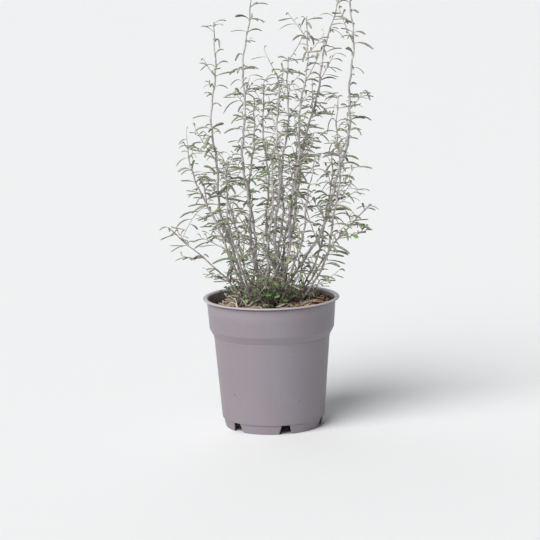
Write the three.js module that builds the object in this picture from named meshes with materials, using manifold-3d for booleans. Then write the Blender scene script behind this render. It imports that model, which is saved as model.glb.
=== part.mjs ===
// A young corokia in a plastic nursery pot: a clump of wiry upright stems, each with narrow leaves in tufts.
// Millimetres, +Z up. The origin is the middle of the pot's underside, on the surface that it stands on.
// +X is to the viewer's right and +Y is away from the viewer.
import * as THREE from "three";
import { mergeVertices } from "three/addons/utils/BufferGeometryUtils.js";
import Module from "manifold-3d";

const wasm = await Module();
wasm.setup();

// The pot: a tapered tub with a wide collar, a flat lip and a ring of six feet
const POT_HEIGHT = 124;
const LIP_RADIUS = 65;
const LIP_DROP = 1.8;
const COLLAR_TOP_RADIUS = 61.2;
const COLLAR_FOOT_RADIUS = 59.2;
const COLLAR_FOOT_Z = 95;
const WAIST_RADIUS = 55;
const WAIST_Z = 87.5;
const HEEL_RADIUS = 48.8;
const HEEL_Z = 9.2;
const WALL = 1.2;
const FLOOR_Z = 8;
const FLOOR_TOP_Z = 10.2;
const FOOT_SETBACK = 0.9;
const FOOT_LEAN = 2.2;
const FOOT_COUNT = 6;
const NOTCH_BEARING = 13.5;
const NOTCH_TILT = 20;
const NOTCH_TOP_WIDTH = 7.4;
const NOTCH_FOOT_WIDTH = 13;
const ROUND_SIDES = 36;

// The potting mix, which fills the pot to a little under its lip
const MIX_TOP = 117;
const SEAT_GAP = 0.3;

// The growth: every stem is drawn from these and from its own row below
const WANDER = 1.7;
const WANDER_WAVE = 14;
const TIP_RADIUS = 0.5;
const STEM_STEP = 13;
const AXIS_STEPS = 48;
const NODE_GAP = 11;
const SPRIG_GAP = 5;
const GOLDEN_TURN = 2.4;
const LEAF_LENGTH = 24;
const LEAF_WIDTH = 0.2;
const LEAF_THICKNESS = 0.035;
const LEAF_WIDEST = 0.6;
const LEAF_LEAN = 32;
const LEAF_LEAN_SPREAD = 38;
const LEAF_RISE = 0.12;
const LEAF_DROOP = 0.66;
const LEAF_DROOP_SPREAD = 0.34;
const LEAF_ROLL = 1.8;
const LEAF_TRIES = 4;
const TRY_TURN = 1.7;
const TRY_SIZE = 0.82;
const ROOT_DEPTH = 0.5;
const SECOND_LEAF = 0.58;
const SHOOT_CHANCE = 0.55;
const SHOOT_LENGTH = 30;
const SHOOT_RADIUS = 0.65;
const SHOOT_RISE = 0.22;
const SHOOT_GAP = 6;
const SHOOT_LEAF = 0.7;

// The room for the growth: the crown's reach, and what one mass leaves free beside the next
const CROWN_HALF_WIDTH = 104;
const CROWN_HALF_DEPTH = 79;
const CROWN_TOP = 426;
const SOIL_GAP = 1.5;
const LIP_GAP = 1.5;
const LIP_ROOM = 57;
const SPACE_GAP = 0.6;
const LIMB_GAP = 0.5;
const WELD = 0.01;

// Where each stem's foot stands, where its tip reaches and how high, how soon it turns upright (bow), how
// far its middle sways sideways, its radius at the foot (girth), and the height over the mix at which its
// leaves begin.
const STEMS = {
  left_low: { foot: [-21, -3], tip: [-94, -15], top: 194, bow: 1, sway: 3, girth: 1, bare: 20 },
  left_mid: { foot: [-16, -11], tip: [-76, -27], top: 272, bow: 1.2, sway: 0, girth: 1.5, bare: 22 },
  left_tall: { foot: [-19, 7], tip: [-46, 12], top: 383, bow: 3.4, sway: -7, girth: 1.6, bare: 24 },
  left_top: { foot: [-9, -5], tip: [-13, -16], top: 415, bow: 1.6, sway: -11, girth: 1.7, bare: 24 },
  centre_left: { foot: [-8, 6], tip: [-10, 6], top: 311, bow: 1.5, sway: -8, girth: 1.8, bare: 22 },
  centre: { foot: [0, -9], tip: [9, -22], top: 335, bow: 1.4, sway: 3, girth: 1.9, bare: 22 },
  centre_right: { foot: [6, 5], tip: [22, 12], top: 348, bow: 1.3, sway: -2, girth: 1.6, bare: 22 },
  right_inner: { foot: [9, -12], tip: [40, -16], top: 388, bow: 2, sway: -6, girth: 1.7, bare: 24 },
  right_lean: { foot: [4, 15], tip: [70, 36], top: 412, bow: 1.1, sway: -4, girth: 1.6, bare: 24 },
  right_tall: { foot: [2, -2], tip: [79, -4], top: 424, bow: 3.3, sway: 2, girth: 1.8, bare: 26 },
  right_mid: { foot: [25, -8], tip: [65, -32], top: 316, bow: 4, sway: 0, girth: 1.4, bare: 26 },
  right_low: { foot: [24, 6], tip: [93, 17], top: 207, bow: 1, sway: -3, girth: 1.2, bare: 22 },
  back_left: { foot: [-13, 17], tip: [-40, 56], top: 246, bow: 2.2, sway: 0, girth: 1.4, bare: 20 },
  back_centre: { foot: [-3, 23], tip: [-5, 50], top: 322, bow: 2.4, sway: 3, girth: 1.6, bare: 22 },
  back_right: { foot: [11, 20], tip: [30, 66], top: 290, bow: 1.7, sway: 0, girth: 1.5, bare: 22 },
  front_left: { foot: [-12, -17], tip: [-38, -56], top: 240, bow: 2.4, sway: 0, girth: 1.4, bare: 20 },
  front_centre: { foot: [-3, -21], tip: [6, -60], top: 272, bow: 2.2, sway: -4, girth: 1.5, bare: 22 },
  front_right: { foot: [8, -21], tip: [41, -58], top: 262, bow: 1.5, sway: 0, girth: 1.4, bare: 20 },
  far_right: { foot: [23, 14], tip: [60, 42], top: 254, bow: 2.6, sway: 0, girth: 1.3, bare: 22 },
};

// Short leafy shoots that hide the foot of the clump. They rise straight out of the mix, so they have no
// bare limb.
const SPRIGS = {
  front_sprig: { foot: [-7, -27], tip: [-12, -40], top: 141, bow: 1.4, sway: 0, girth: 0.9, bare: 2 },
  left_sprig: { foot: [-28, 4], tip: [-41, 9], top: 146, bow: 1.4, sway: 0, girth: 0.9, bare: 2 },
  right_sprig: { foot: [33, -2], tip: [45, -9], top: 140, bow: 1.4, sway: 0, girth: 0.9, bare: 2 },
  back_sprig: { foot: [4, 32], tip: [8, 44], top: 148, bow: 1.4, sway: 0, girth: 0.9, bare: 2 },
};

const PLASTIC = new THREE.MeshStandardMaterial({ color: 0x9a9298, roughness: 0.5, metalness: 0 });
const MIX = new THREE.MeshStandardMaterial({ color: 0x4a3222, roughness: 1, metalness: 0 });
const BARK = new THREE.MeshStandardMaterial({ color: 0xa39c9c, roughness: 0.85, metalness: 0 });
const LEAF = new THREE.MeshStandardMaterial({ color: 0x7e8572, roughness: 0.7, metalness: 0 });

const UP = new THREE.Vector3(0, 0, 1);
const shrub = new THREE.Group();

// Adds one named piece to the shrub.
function place(name, geometry, material) {
  const mesh = new THREE.Mesh(geometry, material);
  mesh.name = name;
  shrub.add(mesh);
}

// A closed geometry as a manifold-3d solid, ready to be joined or cut.
function solidOf(geometry) {
  const bare = new THREE.BufferGeometry();
  const loose = geometry.index ? geometry.toNonIndexed() : geometry;
  bare.setAttribute("position", loose.getAttribute("position"));
  const merged = mergeVertices(bare, 1e-4);
  return new wasm.Manifold(
    new wasm.Mesh({
      numProp: 3,
      vertProperties: merged.attributes.position.array,
      triVerts: new Uint32Array(merged.index.array),
    }),
  );
}

// A manifold-3d solid as a geometry.
function geometryOf(solid) {
  const mesh = solid.getMesh();
  const corners = new Float32Array(mesh.numVert * 3);
  for (let i = 0; i < mesh.numVert; i++) {
    corners.set(mesh.vertProperties.subarray(i * mesh.numProp, i * mesh.numProp + 3), i * 3);
  }
  const geometry = new THREE.BufferGeometry();
  geometry.setAttribute("position", new THREE.BufferAttribute(corners, 3));
  geometry.setIndex(new THREE.BufferAttribute(new Uint32Array(mesh.triVerts), 1));
  return geometry;
}

// A round body: the profile's points are [radius, height], from the axis at the foot round to the axis at
// the top.
function turned(profile, sides) {
  const points = profile.map(([radius, height]) => new THREE.Vector2(radius, height));
  const body = new THREE.LatheGeometry(points, sides);
  body.rotateX(Math.PI / 2);
  return body;
}

// The pot

// The inside of the wall is the outside, one wall thickness further in.
const BOWL = [
  [HEEL_RADIUS - WALL, FLOOR_TOP_Z],
  [WAIST_RADIUS - WALL, WAIST_Z],
  [COLLAR_FOOT_RADIUS - WALL, COLLAR_FOOT_Z],
];

function potTub() {
  const outside = [
    [0, FLOOR_Z],
    [HEEL_RADIUS - FOOT_SETBACK - WALL, FLOOR_Z],
    [HEEL_RADIUS - FOOT_SETBACK - WALL - FOOT_LEAN, 0],
    [HEEL_RADIUS - FOOT_SETBACK - FOOT_LEAN, 0],
    [HEEL_RADIUS - FOOT_SETBACK, HEEL_Z],
    [HEEL_RADIUS, HEEL_Z],
    [WAIST_RADIUS, WAIST_Z],
    [COLLAR_FOOT_RADIUS, COLLAR_FOOT_Z],
    [COLLAR_TOP_RADIUS, POT_HEIGHT - LIP_DROP],
    [LIP_RADIUS - 0.6, POT_HEIGHT - LIP_DROP],
    [LIP_RADIUS, POT_HEIGHT - LIP_DROP / 2],
    [LIP_RADIUS - 0.8, POT_HEIGHT - 0.3],
    [LIP_RADIUS - 2, POT_HEIGHT],
  ];
  const inside = [
    [COLLAR_TOP_RADIUS - WALL, POT_HEIGHT - 1],
    ...BOWL.toReversed(),
    [0, FLOOR_TOP_Z],
  ];
  return turned([...outside, ...inside], ROUND_SIDES);
}

// One drainage notch: a wedge that is wide at the ground and narrow at the pot's heel. It is tilted about
// the heel line, so that its ceiling rises inwards, through the corner of the floor, to let the water out.
function notch(bearing) {
  const inner = HEEL_RADIUS - 8;
  const outer = HEEL_RADIUS + 4;
  const middle = HEEL_RADIUS - FOOT_SETBACK / 2;
  const side = new THREE.Shape([
    new THREE.Vector2(-NOTCH_FOOT_WIDTH / 2, -1),
    new THREE.Vector2(NOTCH_FOOT_WIDTH / 2, -1),
    new THREE.Vector2(NOTCH_TOP_WIDTH / 2, HEEL_Z),
    new THREE.Vector2(-NOTCH_TOP_WIDTH / 2, HEEL_Z),
  ]);
  const wedge = new THREE.ExtrudeGeometry(side, { depth: outer - inner, bevelEnabled: false });
  // The wedge is drawn in X and Z and runs out from the axis towards the viewer.
  wedge.rotateX(Math.PI / 2);
  wedge.translate(0, middle - inner, -HEEL_Z);
  wedge.rotateX(THREE.MathUtils.degToRad(NOTCH_TILT));
  wedge.translate(0, -middle, HEEL_Z);
  wedge.rotateZ(THREE.MathUtils.degToRad(bearing));
  return solidOf(wedge);
}

function pot() {
  let body = solidOf(potTub());
  for (let foot = 0; foot < FOOT_COUNT; foot++) {
    body = body.subtract(notch(NOTCH_BEARING + (foot * 360) / FOOT_COUNT));
  }
  return geometryOf(body);
}

place("pot", pot(), PLASTIC);

// The potting mix

function pottingMix() {
  const top = MIX_TOP - 2;
  const rise = (top - COLLAR_FOOT_Z) / (POT_HEIGHT - COLLAR_FOOT_Z);
  const topRadius = COLLAR_FOOT_RADIUS + rise * (COLLAR_TOP_RADIUS - COLLAR_FOOT_RADIUS);
  const sides = BOWL.map(([radius, height]) => [radius - SEAT_GAP, height]);
  sides[0][1] += SEAT_GAP;
  return turned(
    [
      [0, FLOOR_TOP_Z + SEAT_GAP],
      ...sides,
      [topRadius - WALL - SEAT_GAP, top],
      [topRadius - 10, MIX_TOP],
      [0, MIX_TOP],
    ],
    ROUND_SIDES,
  );
}

place("potting_mix", geometryOf(solidOf(pottingMix())), MIX);

// The growth rule

// The same numbers each time for the same seed, from 0 up to 1.
function seeded(seed) {
  let state = Math.imul(seed, 2654435761) >>> 0;
  return () => {
    state = (Math.imul(state, 1664525) + 1013904223) >>> 0;
    return state / 4294967296;
  };
}

// A point on a stem's axis: share runs from 0 at the foot to 1 at the tip.
function axisPoint(stem, share) {
  const out = 1 - Math.max(0, 1 - share) ** stem.bow;
  const rise = (stem.top - MIX_TOP - SEAT_GAP) * share;
  const loose = WANDER * Math.min(1, rise / 60);
  return new THREE.Vector3(
    stem.foot[0] + (stem.tip[0] - stem.foot[0]) * out + stem.sway * Math.sin(Math.PI * share)
      + loose * Math.sin(rise / WANDER_WAVE + stem.phase),
    stem.foot[1] + (stem.tip[1] - stem.foot[1]) * out
      + loose * Math.cos(rise / WANDER_WAVE + 2 * stem.phase),
    MIX_TOP + SEAT_GAP + rise,
  );
}

function girthAt(stem, share) {
  return TIP_RADIUS + (stem.girth - TIP_RADIUS) * Math.max(0, 1 - share) ** 0.8;
}

const growing = Object.entries({ ...STEMS, ...SPRIGS }).map(([name, row], index) => ({
  name,
  ...row,
  seed: index + 11,
  phase: index * 2.4,
  isSprig: name in SPRIGS,
}));
for (const stem of growing) {
  stem.axis = Array.from({ length: AXIS_STEPS + 1 }, (_, i) => axisPoint(stem, i / AXIS_STEPS));
  stem.span = stem.top - MIX_TOP - SEAT_GAP;
}

// The distance from a point to a stem's axis, and the stem's radius at the nearest place.
function nearest(stem, point) {
  let best = Infinity;
  let radius = 0;
  const line = new THREE.Line3();
  const foot = new THREE.Vector3();
  for (let i = 0; i < AXIS_STEPS; i++) {
    line.set(stem.axis[i], stem.axis[i + 1]);
    line.closestPointToPoint(point, true, foot);
    const away = foot.distanceTo(point);
    if (away < best) {
      best = away;
      radius = girthAt(stem, i / AXIS_STEPS);
    }
  }
  return { away: best, radius };
}

// A mass keeps to the space round its own stem: nearer to that stem than to any other, and clear of every
// limb and of the pot's lip.
function inOwnSpace(stem, point) {
  if (point.z < MIX_TOP + SOIL_GAP || point.z > CROWN_TOP) return false;
  if (Math.abs(point.x) > CROWN_HALF_WIDTH || Math.abs(point.y) > CROWN_HALF_DEPTH) return false;
  if (point.z < POT_HEIGHT + LIP_GAP && Math.hypot(point.x, point.y) > LIP_ROOM) return false;
  const own = nearest(stem, point).away;
  return growing.every((other) => {
    if (other === stem) return true;
    const near = nearest(other, point);
    return near.away > own + SPACE_GAP && near.away > near.radius + LIMB_GAP;
  });
}

// A tapering limb through a list of points: a cylinder whose rings are moved onto them. One that stands on
// the potting mix has a level foot.
function limb(points, radii, sides, levelFoot = false) {
  const body = new THREE.CylinderGeometry(1, 1, 1, sides, points.length - 1);
  const place = body.getAttribute("position");
  const corner = new THREE.Vector3();
  const along = new THREE.Vector3();
  const across = new THREE.Vector3();
  const over = new THREE.Vector3();
  for (let i = 0; i < place.count; i++) {
    corner.fromBufferAttribute(place, i);
    const ring = Math.round((corner.y + 0.5) * (points.length - 1));
    const before = points[Math.max(ring - 1, 0)];
    const after = points[Math.min(ring + 1, points.length - 1)];
    along.subVectors(after, before).normalize();
    if (ring === 0 && levelFoot) along.set(0, 0, 1);
    across.set(1, 0, 0).addScaledVector(along, -along.x).normalize();
    over.crossVectors(along, across);
    const { x, z } = corner;
    corner.copy(points[ring]);
    corner.addScaledVector(across, x * radii[ring]);
    corner.addScaledVector(over, -z * radii[ring]);
    place.setXYZ(i, corner.x, corner.y, corner.z);
  }
  return body;
}

// The part of a stem between two shares of its height.
function stemLimb(stem, from, to, sides) {
  const steps = Math.max(2, Math.round(((to - from) * stem.span) / STEM_STEP));
  const shares = Array.from({ length: steps + 1 }, (_, i) => from + ((to - from) * i) / steps);
  return limb(
    shares.map((share) => axisPoint(stem, share)),
    shares.map((share) => girthAt(stem, share)),
    sides,
    from === 0,
  );
}

// A leaf is an octahedron drawn out along an arch: narrow at its root, widest past its middle, with a blunt
// tip.
function leafPoint(leaf, share) {
  const fall = leaf.droop * leaf.length * share ** 2;
  return leaf.root.clone().addScaledVector(leaf.heading, leaf.length * share).addScaledVector(UP, -fall);
}

function leafCorners(leaf) {
  const tip = leafPoint(leaf, 1);
  const middle = leafPoint(leaf, LEAF_WIDEST);
  const along = new THREE.Vector3().subVectors(tip, leaf.root).normalize();
  const side = new THREE.Vector3().crossVectors(along, UP).normalize();
  side.applyAxisAngle(along, leaf.roll);
  const face = new THREE.Vector3().crossVectors(along, side);
  face.multiplyScalar((leaf.length * LEAF_THICKNESS) / 2);
  side.multiplyScalar((leaf.length * LEAF_WIDTH) / 2);
  const around = [side, side.clone().negate(), face, face.clone().negate()];
  return { tip, around: around.map((reach) => reach.add(middle)) };
}

function leafBody(leaf) {
  const body = new THREE.OctahedronGeometry(1);
  const place = body.getAttribute("position");
  const { tip, around } = leafCorners(leaf);
  for (let i = 0; i < place.count; i++) {
    let corner = place.getX(i) > 0.5 ? tip : leaf.root;
    if (place.getZ(i) < -0.5) corner = around[0];
    if (place.getZ(i) > 0.5) corner = around[1];
    if (place.getY(i) > 0.5) corner = around[2];
    if (place.getY(i) < -0.5) corner = around[3];
    place.setXYZ(i, corner.x, corner.y, corner.z);
  }
  return body;
}

function leafFits(stem, leaf) {
  const { tip, around } = leafCorners(leaf);
  const between = [0.3, 0.8].map((share) => leafPoint(leaf, share));
  return [tip, ...around, ...between].every((point) => inOwnSpace(stem, point));
}

// The way a twig or leaf sets off: turned round the stem by bearing, and opened from its upward line by
// lean.
function headingFrom(upward, bearing, lean) {
  const across = new THREE.Vector3(1, 0, 0).addScaledVector(upward, -upward.x).normalize();
  const over = new THREE.Vector3().crossVectors(upward, across);
  return new THREE.Vector3()
    .addScaledVector(upward, Math.cos(lean))
    .addScaledVector(across, Math.sin(lean) * Math.cos(bearing))
    .addScaledVector(over, Math.sin(lean) * Math.sin(bearing));
}

// Draws one leaf. It sets off at least a little upward and arches over, the more the steeper it rises. One
// that would leave its stem's space is turned on and drawn again smaller, a few times over, and is skipped
// if it never fits. size is its share of the full length.
function growLeaf(random, stem, root, upward, bearing, size) {
  for (let attempt = 0; attempt < LEAF_TRIES; attempt++) {
    const lean = THREE.MathUtils.degToRad(LEAF_LEAN + LEAF_LEAN_SPREAD * random());
    const turn = bearing + attempt * TRY_TURN + 0.7 * (random() - 0.5);
    const heading = headingFrom(upward, turn, lean);
    heading.z = Math.max(heading.z, LEAF_RISE);
    heading.normalize();
    const length = LEAF_LENGTH * size * TRY_SIZE ** attempt * (0.75 + 0.5 * random());
    const leaf = {
      root: root.clone().addScaledVector(heading, -ROOT_DEPTH),
      heading,
      length,
      droop: LEAF_DROOP * heading.z + LEAF_DROOP_SPREAD * random(),
      roll: LEAF_ROLL * (random() - 0.5),
    };
    if (leafFits(stem, leaf)) return [leaf];
  }
  return [];
}

// A side shoot: a thin twig that curves upward, with leaves along it. One that does not fit is skipped.
function growShoot(random, stem, root, upward, bearing) {
  const length = SHOOT_LENGTH * (0.5 + 0.8 * random());
  const heading = headingFrom(upward, bearing, THREE.MathUtils.degToRad(34 + 22 * random()));
  const at = (share) => root.clone()
    .addScaledVector(heading, length * share)
    .addScaledVector(UP, SHOOT_RISE * length * share ** 2);
  const fits = [0.35, 0.7, 1].every((share) => inOwnSpace(stem, at(share)));
  if (!fits) return { twigs: [], leaves: [] };
  const leaves = [];
  const count = Math.floor(length / SHOOT_GAP);
  for (let i = 1; i <= count; i++) {
    const share = i / count;
    const slope = heading.clone().addScaledVector(UP, 2 * SHOOT_RISE * share).normalize();
    leaves.push(...growLeaf(random, stem, at(share), slope, bearing + i * GOLDEN_TURN, SHOOT_LEAF));
  }
  return { twigs: [[0, 0.34, 0.67, 1].map(at)], leaves };
}

// Everything that grows on one stem, from the height where its leaves begin up to its tip.
function growStem(stem) {
  const random = seeded(stem.seed);
  const twigs = [];
  const leaves = [];
  const gap = stem.isSprig ? SPRIG_GAP : NODE_GAP;
  let height = stem.bare + 3;
  for (let count = 0; height < stem.span; count++) {
    const share = height / stem.span;
    const root = axisPoint(stem, share);
    const upward = axisPoint(stem, share + 0.02).sub(axisPoint(stem, share - 0.02)).normalize();
    const bearing = stem.phase + count * GOLDEN_TURN;
    const size = 0.72 + 0.28 * Math.sin(Math.PI * (0.25 + 0.6 * share));
    leaves.push(...growLeaf(random, stem, root, upward, bearing, size));
    if (random() < SECOND_LEAF) {
      leaves.push(...growLeaf(random, stem, root, upward, bearing + 2.2, 0.8 * size));
    }
    if (random() < SHOOT_CHANCE * (1 - share) && !stem.isSprig) {
      const shoot = growShoot(random, stem, root, upward, bearing + 4.2);
      twigs.push(...shoot.twigs);
      leaves.push(...shoot.leaves);
    }
    height += gap * (0.75 + 0.5 * random());
  }
  // The growing tip ends in a small tuft round its bud.
  for (const turn of [0, 2.1, 4.2]) {
    leaves.push(...growLeaf(random, stem, axisPoint(stem, 0.985), UP, stem.phase + turn, 0.6));
  }
  return { twigs, leaves };
}

// Whether any two corners of a solid lie within WELD of each other.
function hasCloseCorners(solid) {
  const corners = geometryOf(solid).getAttribute("position");
  const one = new THREE.Vector3();
  const two = new THREE.Vector3();
  for (let i = 0; i < corners.count; i++) {
    one.fromBufferAttribute(corners, i);
    for (let j = i + 1; j < corners.count; j++) {
      two.fromBufferAttribute(corners, j);
      if (one.distanceToSquared(two) < WELD ** 2) return true;
    }
  }
  return false;
}

// Fuses twigs and leaves onto a stem one by one. One whose seam would be too fine to weld is left off. A
// hollow that the leaves close in is filled, and a scrap that nothing holds is dropped.
function fuse(stem, parts) {
  let whole = solidOf(stem);
  for (const part of parts) {
    const bodies = whole.add(solidOf(part)).simplify(WELD).decompose();
    const next = bodies.reduce((largest, body) => (body.volume() > largest.volume() ? body : largest));
    if (!hasCloseCorners(next)) whole = next;
  }
  return whole;
}

for (const stem of growing) {
  const entry = stem.bare / stem.span;
  const gap = SEAT_GAP / stem.span;
  if (!stem.isSprig) place(`stem_${stem.name}`, stemLimb(stem, 0, entry, 6), BARK);
  const { twigs, leaves } = growStem(stem);
  const taper = [1, 0.85, 0.7, 0.55].map((share) => share * SHOOT_RADIUS);
  const shoots = twigs.map((points) => limb(points, taper, 3));
  const core = stemLimb(stem, stem.isSprig ? 0 : entry + gap, 1, 4);
  const mass = fuse(core, [...shoots, ...leaves.map(leafBody)]);
  place(`leaves_${stem.name}`, geometryOf(mass), LEAF);
}

export default shrub;
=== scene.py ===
# %% [markdown]
# # A young corokia in its nursery pot
#
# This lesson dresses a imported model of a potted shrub. The model already holds the true sizes: a tapered pot
# on six feet, the potting mix in it, nineteen stems and the masses of leaves round them. Each of those
# solids is plain, so each is replaced here by a piece that has the real surface. The work starts by loading
# the solids as a fixed frame.

# %% Load the frame
import math

import bpy
import numpy as np
from mathutils import Matrix, Vector, noise


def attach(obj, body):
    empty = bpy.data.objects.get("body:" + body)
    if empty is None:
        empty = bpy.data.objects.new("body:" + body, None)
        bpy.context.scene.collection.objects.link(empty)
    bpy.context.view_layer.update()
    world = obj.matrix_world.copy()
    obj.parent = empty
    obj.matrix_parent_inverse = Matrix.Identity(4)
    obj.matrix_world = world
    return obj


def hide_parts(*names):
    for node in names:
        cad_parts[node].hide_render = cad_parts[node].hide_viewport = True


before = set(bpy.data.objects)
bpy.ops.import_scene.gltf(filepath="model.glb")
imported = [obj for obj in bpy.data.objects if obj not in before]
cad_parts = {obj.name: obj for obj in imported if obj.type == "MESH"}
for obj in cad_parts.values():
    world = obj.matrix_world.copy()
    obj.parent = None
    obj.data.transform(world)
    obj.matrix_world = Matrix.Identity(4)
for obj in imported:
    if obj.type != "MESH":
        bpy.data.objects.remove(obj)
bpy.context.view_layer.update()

node_names = sorted(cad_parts)

# %% [markdown]
# ## Units and names
#
# Blender measures in metres and the plant is measured in millimetres, so sizes are written in millimetres
# and multiplied by MM where they meet Blender. The heights are the same named values as in the model.

# %% Name the main sizes
MM = 0.001
POT_HEIGHT = 124
MIX_TOP = 117
SEAT_GAP = 0.3
UP = np.array([0.0, 0.0, 1.0])
print("the mix is", POT_HEIGHT - MIX_TOP, "mm under the pot's lip")

# %% [markdown]
# ## Camera
#
# The photo looks a little down on the pot from nearly two metres away, through a long lens. The ellipse of
# the pot's lip gives the angle: it is 0.18 times as tall as it is wide, which is 10.4 degrees. The height of
# the pot against its width then gives the distance. The pot leans 1.2 degrees to the left in the photo. Here
# it stands level, so the camera rolls by that angle instead.

# %% Set up the camera
CAMERA_DISTANCE = 1857
CAMERA_HEIGHT = POT_HEIGHT + 340.8
CAMERA_SIDE = -0.6
CAMERA_PITCH = 9.645
CAMERA_ROLL = -1.2
PHOTO_PIXELS = 540
FOCAL_PIXELS = 1988
SENSOR_WIDTH = 36

bpy.ops.object.camera_add()
camera = bpy.context.object
camera.name = "camera"
camera.data.sensor_width = SENSOR_WIDTH
camera.data.lens = SENSOR_WIDTH * FOCAL_PIXELS / PHOTO_PIXELS
camera.data.clip_end = 20
stand = Vector((CAMERA_SIDE, -CAMERA_DISTANCE, CAMERA_HEIGHT)) * MM
pitch = Matrix.Rotation(math.radians(90 - CAMERA_PITCH), 4, "X")
roll = Matrix.Rotation(math.radians(CAMERA_ROLL), 4, "Z")
camera.matrix_world = Matrix.Translation(stand) @ pitch @ roll
bpy.context.scene.camera = camera
print("camera lens", round(camera.data.lens, 1), "mm")

# %% [markdown]
# ## Floor and light
#
# The plant is shown against an even, nearly white ground with soft light that comes mostly from the left.
# The camera looks down, so a floor that runs far enough fills the whole picture and no backdrop is needed. A
# lamp near the plant would leave a pool of light on it. A broad sun is as bright everywhere, and the wider
# it is the softer the shadow. The pot is a good third brighter at its left side than at its right, which
# fixes the share of sun and sky. The upper side of the pot's lip shines, so the sky is brighter behind the
# plant, as if a white wall stood there.

# %% Lay the floor
FLOOR_REACH = 80
FLOOR_COLOUR = (0.885, 0.895, 0.905, 1)

bpy.context.scene.view_settings.view_transform = "Standard"
bpy.ops.object.select_all(action="DESELECT")
bpy.ops.mesh.primitive_plane_add(size=FLOOR_REACH)
floor = bpy.context.object
floor.name = "floor"
pale = bpy.data.materials.new("pale_floor")
pale.use_nodes = True
pale.node_tree.nodes["Principled BSDF"].inputs["Base Color"].default_value = FLOOR_COLOUR
pale.node_tree.nodes["Principled BSDF"].inputs["Roughness"].default_value = 0.9
floor.data.materials.append(pale)
print("floor reaches", [round(x) for x in floor.dimensions], "m")

# %% Hang the lamps
SUN_BEARING = 37
SUN_HEIGHT = 42
SUN_WIDTH = 46
SUN_POWER = 3.42
SKY_POWER = 0.17
WALL_POWER = 1
WALL_WAY = (-0.35, 0.92, 0.2)
WALL_EDGE = (0.55, 0.95)

bpy.ops.object.light_add(type="SUN")
sun = bpy.context.object
sun.name = "window_light"
sun.data.energy = SUN_POWER
sun.data.angle = math.radians(SUN_WIDTH)
sun.data.color = (1, 0.992, 0.98)
sun.rotation_euler = (math.radians(90 - SUN_HEIGHT), 0, math.radians(-SUN_BEARING))

sky = bpy.data.worlds.new("sky")
sky.use_nodes = True
nodes, links = sky.node_tree.nodes, sky.node_tree.links
place = nodes.new("ShaderNodeTexCoord")
toward = nodes.new("ShaderNodeVectorMath")
toward.operation = "DOT_PRODUCT"
toward.inputs[1].default_value = Vector(WALL_WAY).normalized()
glow = nodes.new("ShaderNodeMapRange")
glow.interpolation_type = "SMOOTHSTEP"
glow.inputs["From Min"].default_value, glow.inputs["From Max"].default_value = WALL_EDGE
glow.inputs["To Min"].default_value = SKY_POWER
glow.inputs["To Max"].default_value = WALL_POWER
links.new(place.outputs["Generated"], toward.inputs[0])
links.new(toward.outputs["Value"], glow.inputs["Value"])
links.new(glow.outputs["Result"], nodes["Background"].inputs["Strength"])
nodes["Background"].inputs["Color"].default_value = (0.97, 0.985, 1, 1)
bpy.context.scene.world = sky
print("lamps and sky in place")

# %% [markdown]
# ## Shader sums
#
# A finish is easier to read as a sum than as a web of nodes. A Wire is one output of a shader node. Adding
# or multiplying wires puts in the Math nodes, and `node` puts in any other kind of node.

# %% Define the wires
class Wire:
    """One output socket of a shader node. A sum on it adds Math nodes to its tree."""

    def __init__(self, tree, socket):
        self.tree = tree
        self.socket = socket

    def node(self, kind, settings=None, sockets=None, out=0):
        """Any node: its type, its settings, and the values or wires of its sockets."""
        made = self.tree.nodes.new(kind)
        for name, value in (settings or {}).items():
            setattr(made, name, value)
        for name, value in (sockets or {}).items():
            if isinstance(value, Wire):
                self.tree.links.new(value.socket, made.inputs[name])
            else:
                made.inputs[name].default_value = value
        return Wire(self.tree, made.outputs[out])

    def sum(self, operation, *values):
        return self.node("ShaderNodeMath", {"operation": operation}, dict(enumerate(values)))

    def __add__(self, other):
        return self.sum("ADD", self, other)

    def __rsub__(self, other):
        return self.sum("SUBTRACT", other, self)

    def __mul__(self, other):
        return self.sum("MULTIPLY", self, other)

    __radd__ = __add__
    __rmul__ = __mul__

    def step(self, low, high):
        """Rises smoothly from 0 at low to 1 at high."""
        ends = {"Value": self, "From Min": low, "From Max": high}
        return self.node("ShaderNodeMapRange", {"interpolation_type": "SMOOTHSTEP"}, ends)

    def colour(self, low, high):
        """Runs from the colour low to the colour high as the wire goes from 0 to 1."""
        return self.node("ShaderNodeMix", {"data_type": "RGBA"}, {0: self, 6: low, 7: high}, out=2)

    def grain(self, scale, detail=3, stretch=(1, 1, 1)):
        """Fine noise on a place, about scale cells to the metre, drawn out by stretch."""
        spread = self.node("ShaderNodeMapping", None, {"Vector": self, "Scale": stretch})
        sockets = {"Vector": spread, "Scale": scale, "Detail": detail}
        return self.node("ShaderNodeTexNoise", None, sockets)

    def bump(self, height):
        """The relief of a wire that runs from 0 to 1, as a normal: height is in metres."""
        return self.node("ShaderNodeBump", None, {"Height": self, "Distance": height, "Strength": 1})


print("wires ready")


# %% Define colours and finishes
def rgb(red, green, blue):
    """A colour as it shows on a screen, from 0 to 255, as the linear colour that a shader takes."""
    shown = [channel / 255 for channel in (red, green, blue)]
    return tuple(((c + 0.055) / 1.055) ** 2.4 if c > 0.04 else c / 12.92 for c in shown) + (1,)


def make_finish(name, paint, **constants):
    """A material: paint(place) gives the sockets that vary, and constants the ones that don't."""
    material = bpy.data.materials.new(name)
    material.use_nodes = True
    tree = material.node_tree
    shader = tree.nodes["Principled BSDF"]
    for socket, value in constants.items():
        shader.inputs[socket.replace("_", " ")].default_value = value
    place = Wire(tree, tree.nodes.new("ShaderNodeTexCoord").outputs["Object"])
    for socket, wire in paint(place).items():
        tree.links.new(wire.socket, shader.inputs[socket])
    return material


print("finishes ready")

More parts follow.
